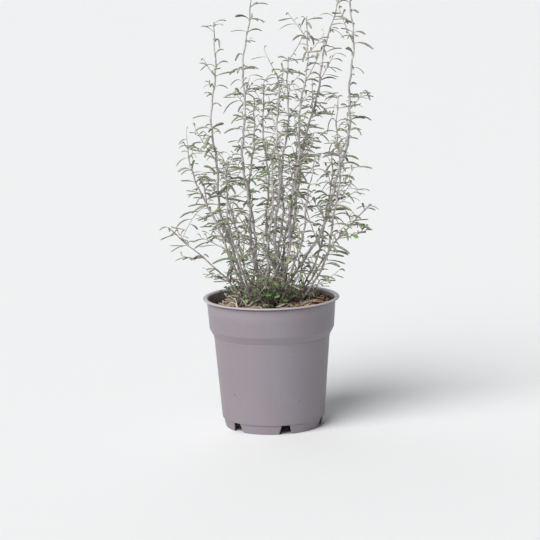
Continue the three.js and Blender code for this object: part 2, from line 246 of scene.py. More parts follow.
# %% [markdown]
# ## Turning a profile
#
# The pot is round, as moulded pots are, so it could be a cylinder pushed about or a profile turned on an
# axis. The profile is better: the lip, collar, step and heel are each a few points of one line. The line is
# drawn by extruding a single point, and every sharp corner of it can be given a small radius first.

# %% Define the lathe
def soften(corners, steps=4):
    """Rounds a profile's corners. Each is a radius, a height and how far from it the round starts."""
    line = []
    for i, (radius, height, reach) in enumerate(corners):
        corner = np.array([radius, height], float)
        if reach == 0 or i in (0, len(corners) - 1):
            line.append(corner)
            continue
        before = np.array(corners[i - 1][:2], float) - corner
        after = np.array(corners[i + 1][:2], float) - corner
        enter = corner + before / np.linalg.norm(before) * reach
        leave = corner + after / np.linalg.norm(after) * reach
        for t in np.linspace(0, 1, steps + 1):
            line.append((1 - t) ** 2 * enter + 2 * t * (1 - t) * corner + t**2 * leave)
    return [(p[0] * MM, p[1] * MM) for p in line]


def turn_profile(name, profile, steps):
    """A round piece: draws the profile's line by extruding one point, and spins it round the axis."""
    bpy.ops.object.select_all(action="DESELECT")
    bpy.ops.mesh.primitive_plane_add(size=MM)
    piece = bpy.context.object
    piece.name = name
    bpy.ops.object.mode_set(mode="EDIT")
    bpy.ops.mesh.select_mode(type="VERT")
    bpy.ops.mesh.select_all(action="SELECT")
    bpy.ops.mesh.merge(type="CENTER")
    bpy.ops.transform.translate(value=(profile[0][0], 0, profile[0][1]))
    for at, point in zip(profile, profile[1:]):
        move = (point[0] - at[0], 0, point[1] - at[1])
        bpy.ops.mesh.extrude_region_move(TRANSFORM_OT_translate={"value": move})
    bpy.ops.mesh.select_all(action="SELECT")
    bpy.ops.mesh.spin(steps=steps, angle=2 * math.pi, center=(0, 0, 0), axis=(0, 0, 1))
    bpy.ops.mesh.select_all(action="SELECT")
    bpy.ops.mesh.remove_doubles(threshold=1e-6)
    bpy.ops.mesh.normals_make_consistent(inside=False)
    bpy.ops.object.mode_set(mode="OBJECT")
    return piece


print("lathe ready")

# %% [markdown]
# ## The pot
#
# A nursery pot is one moulding: a tapered tub, a sloping step out to a wide collar, a rolled lip to carry it
# by, and a skirt at the heel. The skirt and tub are turned as one closed profile, with a fine groove where
# the tub stands over the skirt. Each row of it is a radius, a height and the reach of the rounded corner
# there.

# %% Turn the pot
POT_STEPS = 144
SKIRT = [(0, 8, 0), (46.7, 8, 0.4), (44.5, 0, 0.4), (45.7, 0, 0.5), (47.85, 8.9, 0.1)]
TUB = [(47.3, 9.2, 0.1), (48.8, 9.2, 0.3), (54.9, 85.9, 0.4)]
STEP = [(55.3, 86.6, 0.3), (55, 87.5, 0.4), (59.2, 95, 0.9)]
COLLAR = [(61.1, 121.3, 0.2), (60.7, 122.2, 0.2)]
LIP = [(64.3, 122.2, 0.5), (65, 123.1, 0.45), (64.2, 124, 0.5), (63, 123.7, 0.5), (61.4, 124, 0.6)]
INSIDE = [(60, 122.6, 0.8), (58, 95, 1.5), (53.8, 87.5, 2), (47.6, 10.2, 1), (0, 10.2, 0)]

pot = turn_profile("nursery_pot", soften(SKIRT + TUB + STEP + COLLAR + LIP + INSIDE), POT_STEPS)
print("pot:", len(pot.data.polygons), "faces")

# %% [markdown]
# ### Drainage notches
#
# Notches cut the skirt into six feet. Each slopes up inward through the floor's corner, so that water can
# leave. The notches could be moulded into the profile only if they ran all round, so a wedge for each is
# made from a cube instead, narrower at its top, and one Boolean takes all six out of the pot.

# %% Cut the drainage notches
NOTCH_BEARING = 13.5
NOTCH_COUNT = 6
NOTCH_TOP = 9.2
NOTCH_TILT = 20
NOTCH_TOP_WIDTH = 7.4
NOTCH_FOOT_WIDTH = 13
NOTCH_DEPTH = 12
NOTCH_MIDDLE = 46.8
NOTCH_PIVOT = 48.35
SMOOTH_ANGLE = 38


def select_only(*pieces):
    """Selects only these pieces, and makes the first the active one."""
    bpy.ops.object.select_all(action="DESELECT")
    for piece in pieces:
        piece.select_set(True)
    bpy.context.view_layer.objects.active = pieces[0]


cutters = []
for k in range(NOTCH_COUNT):
    bpy.ops.object.select_all(action="DESELECT")
    bpy.ops.mesh.primitive_cube_add(size=1)
    wedge = bpy.context.object
    bpy.ops.object.mode_set(mode="EDIT")
    bpy.ops.transform.resize(value=(NOTCH_FOOT_WIDTH * MM, NOTCH_DEPTH * MM, (NOTCH_TOP + 1) * MM))
    bpy.ops.transform.translate(value=(0, -NOTCH_MIDDLE * MM, (NOTCH_TOP - 1) / 2 * MM))
    bpy.ops.object.mode_set(mode="OBJECT")
    for corner in wedge.data.vertices:
        if corner.co.z > 0:
            corner.co.x *= NOTCH_TOP_WIDTH / NOTCH_FOOT_WIDTH
    pivot = Vector((0, -NOTCH_PIVOT, NOTCH_TOP)) * MM
    tilt = Matrix.Rotation(math.radians(NOTCH_TILT), 4, "X")
    lean = Matrix.Translation(pivot) @ tilt @ Matrix.Translation(-pivot)
    bearing = NOTCH_BEARING + 360 / NOTCH_COUNT * k
    wedge.data.transform(Matrix.Rotation(math.radians(bearing), 4, "Z") @ lean)
    cutters.append(wedge)
select_only(*cutters)
bpy.ops.object.join()
cutter = bpy.context.object

select_only(pot)
cut = pot.modifiers.new("notches", "BOOLEAN")
cut.operation = "DIFFERENCE"
cut.solver = "EXACT"
cut.object = cutter
bpy.ops.object.modifier_apply(modifier="notches")
bpy.data.objects.remove(cutter)
bpy.ops.object.shade_smooth_by_angle(angle=math.radians(SMOOTH_ANGLE))
print("pot with notches:", len(pot.data.polygons), "faces")

# %% [markdown]
# ## The pot's plastic
#
# The outside is satin taupe-grey plastic with a faint cloudiness, very fine scuffs that run round it, a few
# marks and some dust at the heel. The top of the collar is painted paler, as painted light against the shade
# that the lip casts on it. The lip is painted paler still, as a painted highlight, and a thin painted shadow
# lies under the lip where the two meet. The inside is a plain grey, soiled by the mix. One finish could change
# with height and still blur at the lip. Two finishes on one mesh keep that edge crisp: faces under the lip
# that look towards the axis take the second.

# %% Paint the pot
# Each mark is a place and a radius in millimetres.
DARK_MARKS = [
    (-36.1, -36.1, 37, 0.9),
    (24.5, -44.3, 32, 0.7),
    (-12, -51, 60, 0.4),
    (44, 25, 50, 0.6),
    (-30, 41, 72, 0.5),
]
PALE_MARKS = [(16.8, -51.6, 78.5, 1.3), (20.2, -50, 70, 0.7), (-44, 24, 40, 1)]


def near_marks(place, marks, stretch):
    """A wire that is 1 on the marks and 0 elsewhere."""
    found = 0
    wide = place.node("ShaderNodeMapping", None, {"Vector": place, "Scale": stretch})
    for x, y, z, radius in marks:
        spot = (x * MM * stretch[0], y * MM * stretch[1], z * MM * stretch[2])
        away = wide.node("ShaderNodeVectorMath", {"operation": "DISTANCE"}, {0: wide, 1: spot}, out=1)
        found = found + (1 - away.step(0.4 * radius * MM, radius * MM))
    return found


def paint_pot_outside(place):
    cloud = place.grain(14, 2)
    scuff = place.grain(60, 4, (1, 1, 14))
    band = place.grain(55, 2, (1, 1, 0.12))
    speck = place.grain(330, 1).step(0.76, 0.8)
    dust = place.grain(900, 2).step(0.6, 0.85)
    height = place.node("ShaderNodeSeparateXYZ", None, {0: place}, out=2)
    heel = 1 - height.step(0.004, 0.03)
    tint = band.step(0.35, 0.65).colour(rgb(138, 128, 135), rgb(136, 131, 140))
    body = ((cloud * 0.6 + scuff * 0.4).step(0.3, 0.7) * 0.4).colour(tint, rgb(148, 140, 146))
    # Painted light: the top of the collar is painted paler, against the shade that the lip casts on it.
    body = (height.step(0.108, 0.118) * 0.45).colour(body, rgb(158, 150, 157))
    # Painted highlight: the top and the outer edge of the lip are painted pale.
    lip_highlight = height.step(0.1226, 0.1232)
    # Painted shadow: a thin dark line on the collar just under the lip.
    lip_shadow = height.step(0.1204, 0.1212) * (1 - height.step(0.122, 0.1224))
    lip_light_and_shade = (lip_shadow * 0.6).colour((lip_highlight * 0.75).colour(body, rgb(188, 183, 187)), rgb(72, 64, 68))
    dusty = (dust * heel * 0.35).colour(lip_light_and_shade, rgb(120, 108, 98))
    scratched = (near_marks(place, PALE_MARKS, (1, 1, 3)) * 0.6).colour(dusty, rgb(176, 172, 176))
    spotted = (near_marks(place, DARK_MARKS, (1, 1, 0.7)) * 0.8).colour(scratched, rgb(78, 68, 66))
    return {
        "Base Color": (speck * 0.5).colour(spotted, rgb(96, 84, 84)),
        "Roughness": 0.38 + 0.16 * scuff + 0.1 * heel,
        "Normal": (place.grain(1400, 2) * 0.5 + scuff * 0.5).bump(0.00003),
    }


def paint_pot_inside(place):
    streak = place.grain(120, 4, (1, 1, 0.15))
    soil = place.grain(260, 5).step(0.52, 0.7)
    wall = streak.step(0.3, 0.75).colour(rgb(122, 119, 127), rgb(164, 160, 167))
    return {
        "Base Color": (soil * 0.6).colour(wall, rgb(84, 66, 54)),
        "Roughness": 0.5 + 0.35 * soil,
        "Normal": (soil * 0.7 + streak * 0.3).bump(0.0003),
    }


print("pot's paints ready")

# %% Put the paint on the pot
INSIDE_TOP = 121.6
INWARD = -0.3

pot.data.materials.append(make_finish("pot_outside", paint_pot_outside, Specular_IOR_Level=0.45))
pot.data.materials.append(make_finish("pot_inside", paint_pot_inside, Specular_IOR_Level=0.4))
for face in pot.data.polygons:
    is_inward = face.normal.xy.dot(face.center.xy.normalized()) < INWARD
    face.material_index = int(is_inward and face.center.z < INSIDE_TOP * MM)
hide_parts("pot")
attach(pot, "root")
print("pot painted,", sum(face.material_index for face in pot.data.polygons), "faces inside")

# %% [markdown]
# ## The potting mix
#
# The mix is bark and coir that has been watered down to a rough, uneven top, which lies higher on the right
# than on the left. Sculpting it would give another top each time. A turned plug with many rings on its top
# is lifted by noise in three sizes instead, which is the same in each run.

# %% Turn and roughen the mix
MIX_EDGE = 58.6
SLOPE_WIDTHS = (-58, 0, 58)
MIX_SLOPE = (-2.6, -0.6, 3.2)
PLUG_SIDE = [(0, 10.8), (46.8, 10.8), (53.4, 87.5), (57.6, 95), (59.2, 113)]
PLUG_RINGS = 54
PLUG_STEPS = 150


def mix_height(x, y):
    """The height of the mix's surface over the model's flat top, in millimetres."""
    coarse = noise.noise(Vector((x / 17, y / 17, 3.1)))
    middle = noise.noise(Vector((x / 6, y / 6, 7.7)))
    fine = noise.noise(Vector((x / 2.2, y / 2.2, 1.9)))
    return np.interp(x, SLOPE_WIDTHS, MIX_SLOPE) + 1.8 * coarse + 1.7 * middle + 0.9 * fine


plug = PLUG_SIDE + [(r, MIX_TOP) for r in np.linspace(PLUG_SIDE[-1][0], 0, PLUG_RINGS)]
mix = turn_profile("potting_mix_top", [(r * MM, z * MM) for r, z in plug], PLUG_STEPS)
for corner in mix.data.vertices:
    if corner.co.z > (MIX_TOP - 0.5) * MM:
        corner.co.z += mix_height(corner.co.x / MM, corner.co.y / MM) * MM
bpy.ops.object.shade_smooth()
mix_peak = max(corner.co.z for corner in mix.data.vertices) / MM
print("mix:", len(mix.data.polygons), "faces, up to", round(mix_peak, 1), "mm")

# %% [markdown]
# ### Arrays into meshes
#
# A piece with thousands of small parts is built as arrays of corners and faces and turned into one mesh.
# Each part says which finish it takes. Most parts are rings of corners along a line, closed at both ends:
# chips, twigs, stems and leaves all take their faces from one rule.

# %% Define the tube
def unit(vector):
    return vector / np.linalg.norm(vector)


def ring_faces(rings, sides):
    """The faces of a closed tube: a band of four-sided faces between two rings, and a cap at each end."""
    bands = [
        (i * sides + k, i * sides + (k + 1) % sides, (i + 1) * sides + (k + 1) % sides, (i + 1) * sides + k)
        for i in range(rings - 1)
        for k in range(sides)
    ]
    last = (rings - 1) * sides
    return bands + [tuple(range(sides))[::-1], tuple(range(last, last + sides))]


def tube(points, radii, sides):
    """A closed tube along points. radii holds one radius a ring, or one a ring and side."""
    points = np.asarray(points, float)
    radii = np.asarray(radii, float)
    if radii.ndim == 1:
        radii = np.repeat(radii[:, None], sides, axis=1)
    along = np.gradient(points, axis=0)
    along /= np.linalg.norm(along, axis=1)[:, None]
    across = np.array([1.0, 0, 0]) - along * along[:, :1]
    across /= np.linalg.norm(across, axis=1)[:, None]
    over = np.cross(along, across)
    angle = (np.arange(sides) * 2 * math.pi / sides)[None, :, None]
    ring = np.cos(angle) * across[:, None, :] + np.sin(angle) * over[:, None, :]
    corners = points[:, None, :] + radii[:, :, None] * ring
    return corners.reshape(-1, 3), ring_faces(len(points), sides)


print("tubes ready, and one of two rings and four sides has", len(ring_faces(2, 4)), "faces")


# %% Define the heap
class Heap:
    """Corners, faces and finishes of many small parts, gathered to be one mesh."""

    def __init__(self):
        self.corners = []
        self.faces = []
        self.finishes = []
        self.count = 0

    def add(self, corners, faces, finish):
        """Adds one part: its corners, its faces as lists of them, and one finish or one a face."""
        self.corners.append(np.asarray(corners))
        self.faces.extend([tuple(i + self.count for i in face) for face in faces])
        self.finishes.extend([finish] * len(faces) if isinstance(finish, int) else finish)
        self.count += len(corners)

    def add_twig(self, line, thick, thin, sides, finish):
        """Adds a tapering tube along a line, from the radius thick to the radius thin."""
        self.add(*tube(line, np.linspace(thick, thin, len(line)), sides), finish)

    def piece(self, name, materials, smooth=True):
        """The heap as one object, in metres, with its materials."""
        mesh = bpy.data.meshes.new(name)
        mesh.from_pydata((np.concatenate(self.corners) * MM).tolist(), [], self.faces)
        for material in materials:
            mesh.materials.append(material)
        mesh.polygons.foreach_set("material_index", self.finishes)
        mesh.polygons.foreach_set("use_smooth", [smooth] * len(mesh.polygons))
        mesh.update()
        made = bpy.data.objects.new(name, mesh)
        bpy.context.scene.collection.objects.link(made)
        return made


def triangles(piece):
    """How many triangles a piece has."""
    return sum(len(face.vertices) - 2 for face in piece.data.polygons)


print("heap ready")

# %% [markdown]
# ### Loose bits
#
# The crumbs, chips and strands that make the top look like a mix are about two thousand small separate bits.
# They could be copies of a few pieces, but then the same bit would show again and again, so each is built
# with its own size and turn. A chip of bark is a box with uneven corners. Nearly half of the chips are
# almost black: they are painted shade that stands for the gaps between the others.

# %% Scatter the chips
# The last kind of chip, nearly black, is painted shade for the gaps between the bits.
DARK_CHIP, BROWN_CHIP, COIR, DRY_TWIG, GAP_SHADE_CHIP = range(5)
CHIP_SHARES = (0.16, 0.24, 0.1, 0.07, 0.43)
CHIP = np.array([(x, y, z) for z in (-1, 1) for x, y in ((-1, -1), (1, -1), (1, 1), (-1, 1))])
SMALL_CHIPS, LARGE_CHIPS = 1100, 340
spread = np.random.default_rng(7)
bits = Heap()


def random_spot(edge):
    """A random spot on the mix, within edge of the axis."""
    radius = edge * math.sqrt(spread.random())
    bearing = spread.random() * 2 * math.pi
    x, y = radius * math.cos(bearing), radius * math.sin(bearing)
    return np.array([x, y, MIX_TOP + mix_height(x, y)])


def random_turn(tilt):
    """A random turn as a matrix: any way round, and up to tilt radians off level."""
    level = Matrix.Rotation(spread.random() * 2 * math.pi, 3, "Z")
    lean = Matrix.Rotation((spread.random() - 0.5) * 2 * tilt, 3, "X")
    return np.array(level @ lean).T


def scatter_chips(count, low, high, tilt, lift):
    """Chips of bark: boxes with uneven corners, from the half sizes low up to high."""
    for _ in range(count):
        corners = CHIP * spread.uniform(low, high) * spread.uniform(0.6, 1.1, (8, 3))
        spot = random_spot(MIX_EDGE - 3.5)
        spot[2] += spread.uniform(0, lift)
        corners = corners @ random_turn(tilt) + spot
        bits.add(corners, ring_faces(2, 4), int(spread.choice(5, p=CHIP_SHARES)))


scatter_chips(SMALL_CHIPS, (0.7, 0.35, 0.25), (2.4, 1, 0.7), 0.9, 0.8)
scatter_chips(LARGE_CHIPS, (2, 0.7, 0.4), (5.2, 1.8, 1.2), 1.1, 2)
print("chips:", len(bits.faces), "faces")

# %% [markdown]
# A strand of coir is a thin bowed tube, and a dry twig is a thicker one. On the left the photo shows pale
# twigs that curl over the mix, and two that arch up from it. These two are listed: each row of ARCHES is
# where one starts, where it ends and how far it rises.

# %% Scatter the strands and dry twigs
STRANDS, DRY_TWIGS, CURLED_TWIGS = 520, 60, 26
ARCHES = [((-45, -27), (-28, -35), 9), ((-37, -14), (-31, -39), 12)]
STRAND_FINISHES = [COIR, COIR, DRY_TWIG, BROWN_CHIP, DARK_CHIP]

for _ in range(STRANDS):
    length = spread.uniform(4, 15)
    bow = 2 * length * spread.uniform(-0.25, 0.25)
    share = np.linspace(-0.5, 0.5, 6)
    line = np.stack([share * length, bow * (0.25 - share**2), 0.6 * np.sin(share * 5)], axis=1)
    spot = random_spot(MIX_EDGE - 3 - length / 2)
    spot[2] += spread.uniform(0.3, 2.4)
    thick = spread.uniform(0.16, 0.42)
    line = line @ random_turn(0.3) + spot
    bits.add_twig(line, thick, thick, 3, int(spread.choice(STRAND_FINISHES)))
for _ in range(DRY_TWIGS):
    length = spread.uniform(7, 20)
    share = np.linspace(-0.5, 0.5, 8)
    line = length * np.stack([share, 0.12 * np.sin(share * 6), 0.08 * np.cos(share * 5)], axis=1)
    spot = random_spot(MIX_EDGE - 4 - length / 2)
    spot[2] += 1.8
    bits.add_twig(line @ random_turn(0.25) + spot, 0.65, 0.3, 5, DRY_TWIG)
for _ in range(CURLED_TWIGS):
    length = spread.uniform(9, 17)
    share = np.linspace(0, 1, 10)
    curl = spread.uniform(1.5, 3.2)
    turned = share * curl
    line = np.stack([np.sin(turned), 1 - np.cos(turned), 0.25 * np.sin(share * 3.1)], axis=1)
    line = line * length / curl
    spot = np.array([spread.uniform(-46, -4), spread.uniform(-42, 30), 0])
    spot[2] = MIX_TOP + mix_height(*spot[:2]) + 1.4
    line = line @ random_turn(0.3) + spot
    if np.hypot(line[:, 0], line[:, 1]).max() < MIX_EDGE - 3:
        bits.add_twig(line, 0.75, 0.4, 5, DRY_TWIG)
for start, end, rise in ARCHES:
    share = np.linspace(0, 1, 10)
    line = np.outer(1 - share, (*start, mix_height(*start)))
    line += np.outer(share, (*end, mix_height(*end)))
    line[:, 2] += MIX_TOP + 0.4 + rise * np.sin(math.pi * share)
    bits.add_twig(line, 0.8, 0.5, 5, DRY_TWIG)
print("bits:", len(bits.faces), "faces")

# %% [markdown]
# ### The mix's colours
#
# The ground between the bits is damp and painted darker still, as painted shade in the gaps, with a few
# brown strands in it. Each kind of bit has its own finish, two colours that streak along its grain. All five
# come from one function and a table of colours.

# %% Paint the mix
WOODS = {
    "chip_dark": ((56, 40, 32), (104, 78, 62), 600),
    "chip_brown": ((132, 95, 72), (202, 160, 128), 600),
    "coir_strand": ((192, 126, 84), (242, 194, 152), 800),
    "dry_twig": ((170, 160, 146), (232, 226, 214), 500),
    # Painted shade: nearly black chips stand for the shadowed gaps between the bits.
    "chip_gap_shade": ((22, 17, 15), (48, 36, 30), 600),
}


def paint_mix(place):
    lump = place.grain(300, 5)
    strand = place.grain(700, 3, (1, 4, 1))
    # The ground runs down to nearly black: damp mix, and painted shade in the gaps between the bits.
    base = lump.step(0.4, 0.7).colour(rgb(16, 12, 11), rgb(74, 54, 43))
    return {
        "Base Color": (strand.step(0.62, 0.75) * 0.5).colour(base, rgb(150, 104, 70)),
        "Roughness": 0.8 + 0.15 * lump,
        "Normal": (lump * 0.7 + strand * 0.3).bump(0.0012),
    }


def wood_paint(dark, light, scale):
    """A paint for woody bits: streaks of two colours along their grain."""

    def paint(place):
        streak = place.grain(scale, 4, (1, 2.5, 1))
        return {
            "Base Color": streak.step(0.3, 0.7).colour(rgb(*dark), rgb(*light)),
            "Roughness": 0.75 + 0.2 * streak,
            "Normal": streak.bump(0.0003),
        }

    return paint


mix.data.materials.append(make_finish("potting_mix_base", paint_mix))
woods = [make_finish(name, wood_paint(*wood)) for name, wood in WOODS.items()]
mix_bits = bits.piece("mix_bits", woods, smooth=False)
for piece in (mix, mix_bits):
    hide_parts("potting_mix")
    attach(piece, "root")
print("mix bits:", triangles(mix_bits), "triangles")

# %% [markdown]
# ## How the plant grows
#
# Corokia sends up many thin stems from its base. Each stem here is a line that leans out from its foot and
# then turns upright, with a little wander. Drawing them freely could leave them beside the model's solids,
# so the rule and its named values are the ones that the model was grown by, and stems, shoots and leaves
# stand in the same places. Only the finer growth that follows is new.

# %% Name the growth's values
WANDER = 1.7
WANDER_WAVE = 14
TIP_RADIUS = 0.5
AXIS_STEPS = 48
NODE_GAP = 11
SPRIG_GAP = 5
GOLDEN_TURN = 2.4
LEAF_LENGTH = 24
LEAF_WIDTH = 0.2
LEAF_THICKNESS = 0.035
LEAF_WIDEST = 0.6
LEAF_LEAN = 32
LEAF_LEAN_SPREAD = 38
LEAF_RISE = 0.12
LEAF_DROOP = 0.66
LEAF_DROOP_SPREAD = 0.34
LEAF_ROLL = 1.8
LEAF_TRIES = 4
TRY_TURN = 1.7
TRY_SIZE = 0.82
ROOT_DEPTH = 0.5
SECOND_LEAF = 0.58
SHOOT_CHANCE = 0.55
SHOOT_LENGTH = 30
SHOOT_RADIUS = 0.65
SHOOT_RISE = 0.22
SHOOT_GAP = 6
SHOOT_LEAF = 0.7
CROWN_HALF_WIDTH = 104
CROWN_HALF_DEPTH = 79
CROWN_TOP = 426
SOIL_GAP = 1.5
LIP_GAP = 1.5
LIP_ROOM = 57
SPACE_GAP = 0.6
LIMB_GAP = 0.5
FIRST_SEED = 11
print("a full leaf is", LEAF_LENGTH, "mm long, and a side shoot", SHOOT_LENGTH, "mm")

# %% [markdown]
# The stems that show were followed in the photo, one by one, and those at the back are a guess in the same
# manner. Their feet stand close together in the middle of the pot, and they fan out as they rise. The last
# four are the low sprigs that hide the feet.

# %% List the stems
# Each row: foot x and y, tip x and y, top, bow, sway, girth at the foot, bare height under the leaves.
STEMS = {
    "left_low": (-21, -3, -94, -15, 194, 1, 3, 1, 20),
    "left_mid": (-16, -11, -76, -27, 272, 1.2, 0, 1.5, 22),
    "left_tall": (-19, 7, -46, 12, 383, 3.4, -7, 1.6, 24),
    "left_top": (-9, -5, -13, -16, 415, 1.6, -11, 1.7, 24),
    "centre_left": (-8, 6, -10, 6, 311, 1.5, -8, 1.8, 22),
    "centre": (0, -9, 9, -22, 335, 1.4, 3, 1.9, 22),
    "centre_right": (6, 5, 22, 12, 348, 1.3, -2, 1.6, 22),
    "right_inner": (9, -12, 40, -16, 388, 2, -6, 1.7, 24),
    "right_lean": (4, 15, 70, 36, 412, 1.1, -4, 1.6, 24),
    "right_tall": (2, -2, 79, -4, 424, 3.3, 2, 1.8, 26),
    "right_mid": (25, -8, 65, -32, 316, 4, 0, 1.4, 26),
    "right_low": (24, 6, 93, 17, 207, 1, -3, 1.2, 22),
    "back_left": (-13, 17, -40, 56, 246, 2.2, 0, 1.4, 20),
    "back_centre": (-3, 23, -5, 50, 322, 2.4, 3, 1.6, 22),
    "back_right": (11, 20, 30, 66, 290, 1.7, 0, 1.5, 22),
    "front_left": (-12, -17, -38, -56, 240, 2.4, 0, 1.4, 20),
    "front_centre": (-3, -21, 6, -60, 272, 2.2, -4, 1.5, 22),
    "front_right": (8, -21, 41, -58, 262, 1.5, 0, 1.4, 20),
    "far_right": (23, 14, 60, 42, 254, 2.6, 0, 1.3, 22),
    "front_sprig": (-7, -27, -12, -40, 141, 1.4, 0, 0.9, 2),
    "left_sprig": (-28, 4, -41, 9, 146, 1.4, 0, 0.9, 2),
    "right_sprig": (33, -2, 45, -9, 140, 1.4, 0, 0.9, 2),
    "back_sprig": (4, 32, 8, 44, 148, 1.4, 0, 0.9, 2),
}
print(len(STEMS), "stems and sprigs")

# %% [markdown]
# A stem can give the point at any share of its height, and its radius there. The generator gives the same
# numbers each time for one seed, and it is the model's generator, so that the same leaves come out of it.

# %% Define a stem
class Stem:
    """One stem's line, from its foot on the mix to its growing tip, in millimetres."""

    def __init__(self, name, row, index):
        self.name = name
        self.foot, self.tip = np.array(row[0:2], float), np.array(row[2:4], float)
        self.top, self.bow, self.sway, self.girth, self.bare = row[4:9]
        self.seed = index + FIRST_SEED
        self.phase = index * GOLDEN_TURN
        self.is_sprig = name.endswith("sprig")
        self.span = self.top - MIX_TOP - SEAT_GAP
        self.axis = np.array([self.at(i / AXIS_STEPS) for i in range(AXIS_STEPS + 1)])
        self.radii = np.array([self.radius(i / AXIS_STEPS) for i in range(AXIS_STEPS)])

    def at(self, share):
        """The point on the axis at a share of the height."""
        out = 1 - max(0, 1 - share) ** self.bow
        rise = self.span * share
        loose = WANDER * min(1, rise / 60)
        x, y = self.foot + (self.tip - self.foot) * out
        x += self.sway * math.sin(math.pi * share) + loose * math.sin(rise / WANDER_WAVE + self.phase)
        y += loose * math.cos(rise / WANDER_WAVE + 2 * self.phase)
        return np.array([x, y, MIX_TOP + SEAT_GAP + rise])

    def radius(self, share):
        return TIP_RADIUS + (self.girth - TIP_RADIUS) * max(0, 1 - share) ** 0.8

    def upward(self, share):
        """The way the stem is going at a share of its height."""
        return unit(self.at(share + 0.02) - self.at(share - 0.02))


def seeded(seed):
    """The same numbers each time for the same seed, from 0 up to 1."""
    state = (seed * 2654435761) % 2**32

    def draw():
        nonlocal state
        state = (state * 1664525 + 1013904223) % 2**32
        return state / 2**32

    return draw


stems = [Stem(name, row, index) for index, (name, row) in enumerate(STEMS.items())]
segment_foot = np.stack([stem.axis[:-1] for stem in stems])
segment_run = np.stack([stem.axis[1:] - stem.axis[:-1] for stem in stems])
segment_square = (segment_run**2).sum(-1)
segment_radius = np.stack([stem.radii for stem in stems])
print("stems in all:", round(sum(stem.span for stem in stems)), "mm")

# %% [markdown]
# Each mass of leaves keeps to the space round its own stem. A point is in that space if it is nearer to its
# stem than to any other and clear of every stem. The fine growth added here may weave between the masses, as
# it does on the plant, so it only has to stay clear of the stems and within the plant's reach. It also
# leaves two gaps open through which the photo shows the ground behind.

# %% Define the space of a stem
# Each gap is a place across and up from the mix as the camera sees it, and a radius.
SKY_GAPS = [(46, 212, 9), (-44, 54, 7)]
FINE_GAP = 0.3


def within_reach(points):
    """Whether all the points are above the mix, clear of the lip and within the plant's outer sizes."""
    x, y, z = points.T
    if (z < MIX_TOP + SOIL_GAP).any() or (z > CROWN_TOP).any():
        return False
    if (np.hypot(x, y)[z < POT_HEIGHT + LIP_GAP] > LIP_ROOM).any():
        return False
    return bool((abs(x) <= CROWN_HALF_WIDTH).all() and (abs(y) <= CROWN_HALF_DEPTH).all())


def stem_distances(points):
    """How far each point is from each stem's line, and each stem's radius there."""
    offset = points[:, None, None, :] - segment_foot
    share = np.clip((offset * segment_run).sum(-1) / segment_square, 0, 1)
    away = np.linalg.norm(offset - share[..., None] * segment_run, axis=-1)
    return away.min(-1), segment_radius[np.arange(len(stems)), away.argmin(-1)]


def own_space(index):
    """The test for points that belong to one stem's mass of leaves."""

    def fits(points):
        if not within_reach(points):
            return False
        away, radius = stem_distances(points)
        clear = (away > away[:, index : index + 1] + SPACE_GAP) & (away > radius + LIMB_GAP)
        clear[:, index] = True
        return bool(clear.all())

    return fits


def in_sky_gap(points):
    """Whether any point lies in one of the gaps, once the camera's view from above is allowed for."""
    x, y, z = points.T
    seen = z + y * (CAMERA_HEIGHT - z) / CAMERA_DISTANCE - MIX_TOP
    return any((np.hypot(x - gap_x, seen - gap_z) < reach).any() for gap_x, gap_z, reach in SKY_GAPS)


def clear_of_stems(points):
    """The test for the fine growth."""
    if not within_reach(points) or in_sky_gap(points):
        return False
    away, radius = stem_distances(points)
    return bool((away > radius + FINE_GAP).all())


print("space rule ready")

# %% [markdown]
# A leaf is kept as the few values that shape it: its root, the way it sets off, its length, and how it falls
# and rolls. That is enough to test whether it has room, and the mesh is made from the same values later.

# %% Define a leaf
class Leaf:
    """One leaf: where it is rooted, the way it sets off, and how it falls and rolls."""

    def __init__(self, root, heading, length, droop, roll):
        self.root, self.heading, self.length, self.droop, self.roll = root, heading, length, droop, roll
        self.sweep, self.curl = 0, 0

    def at(self, share):
        share = np.asarray(share, float)[..., None]
        return self.root + self.heading * self.length * share - UP * self.droop * self.length * share**2

    def frame(self):
        """The leaf's sideways direction and the direction that its underside faces."""
        along = unit(self.at(1) - self.root)
        side = unit(np.cross(along, UP))
        down = np.cross(along, side)
        side = side * math.cos(self.roll) + down * math.sin(self.roll)
        return side, np.cross(along, side)

    def probes(self):
        """The points of the leaf that must stay in its stem's space."""
        side, down = self.frame()
        middle = self.at(LEAF_WIDEST)
        wide, thick = side * self.length * LEAF_WIDTH / 2, down * self.length * LEAF_THICKNESS / 2
        around = [middle + wide, middle - wide, middle + thick, middle - thick]
        return np.array([self.at(1), *around, self.at(0.3), self.at(0.8)])


def heading_from(upward, bearing, lean):
    """The way a twig or leaf sets off: turned round the stem by bearing, opened from its line by lean."""
    across = unit(np.array([1.0, 0, 0]) - upward * upward[0])
    over = np.cross(upward, across)
    outward = math.cos(bearing) * across + math.sin(bearing) * over
    return math.cos(lean) * upward + math.sin(lean) * outward


print("leaf ready")

# %% [markdown]
# The next cells hold the model's rule: how a leaf finds room, how a side shoot curves up, and how a stem
# sets its nodes. Each function takes the draws in the same order as the model does. The leaves of the low
# sprigs and of the lowest stem come out longer than the photo's, so they are drawn at a share of their
# length.

# %% Define how leaves and shoots grow
def grow_leaf(draw, fits, root, upward, bearing, size):
    """Draws one leaf, again and smaller while it doesn't fit, and gives it in a list, or an empty list."""
    for attempt in range(LEAF_TRIES):
        lean = math.radians(LEAF_LEAN + LEAF_LEAN_SPREAD * draw())
        turn = bearing + attempt * TRY_TURN + 0.7 * (draw() - 0.5)
        heading = heading_from(upward, turn, lean)
        heading[2] = max(heading[2], LEAF_RISE)
        heading = unit(heading)
        length = LEAF_LENGTH * size * TRY_SIZE**attempt * (0.75 + 0.5 * draw())
        droop = LEAF_DROOP * heading[2] + LEAF_DROOP_SPREAD * draw()
        leaf = Leaf(root - heading * ROOT_DEPTH, heading, length, droop, LEAF_ROLL * (draw() - 0.5))
        if fits(leaf.probes()):
            return [leaf]
    return []


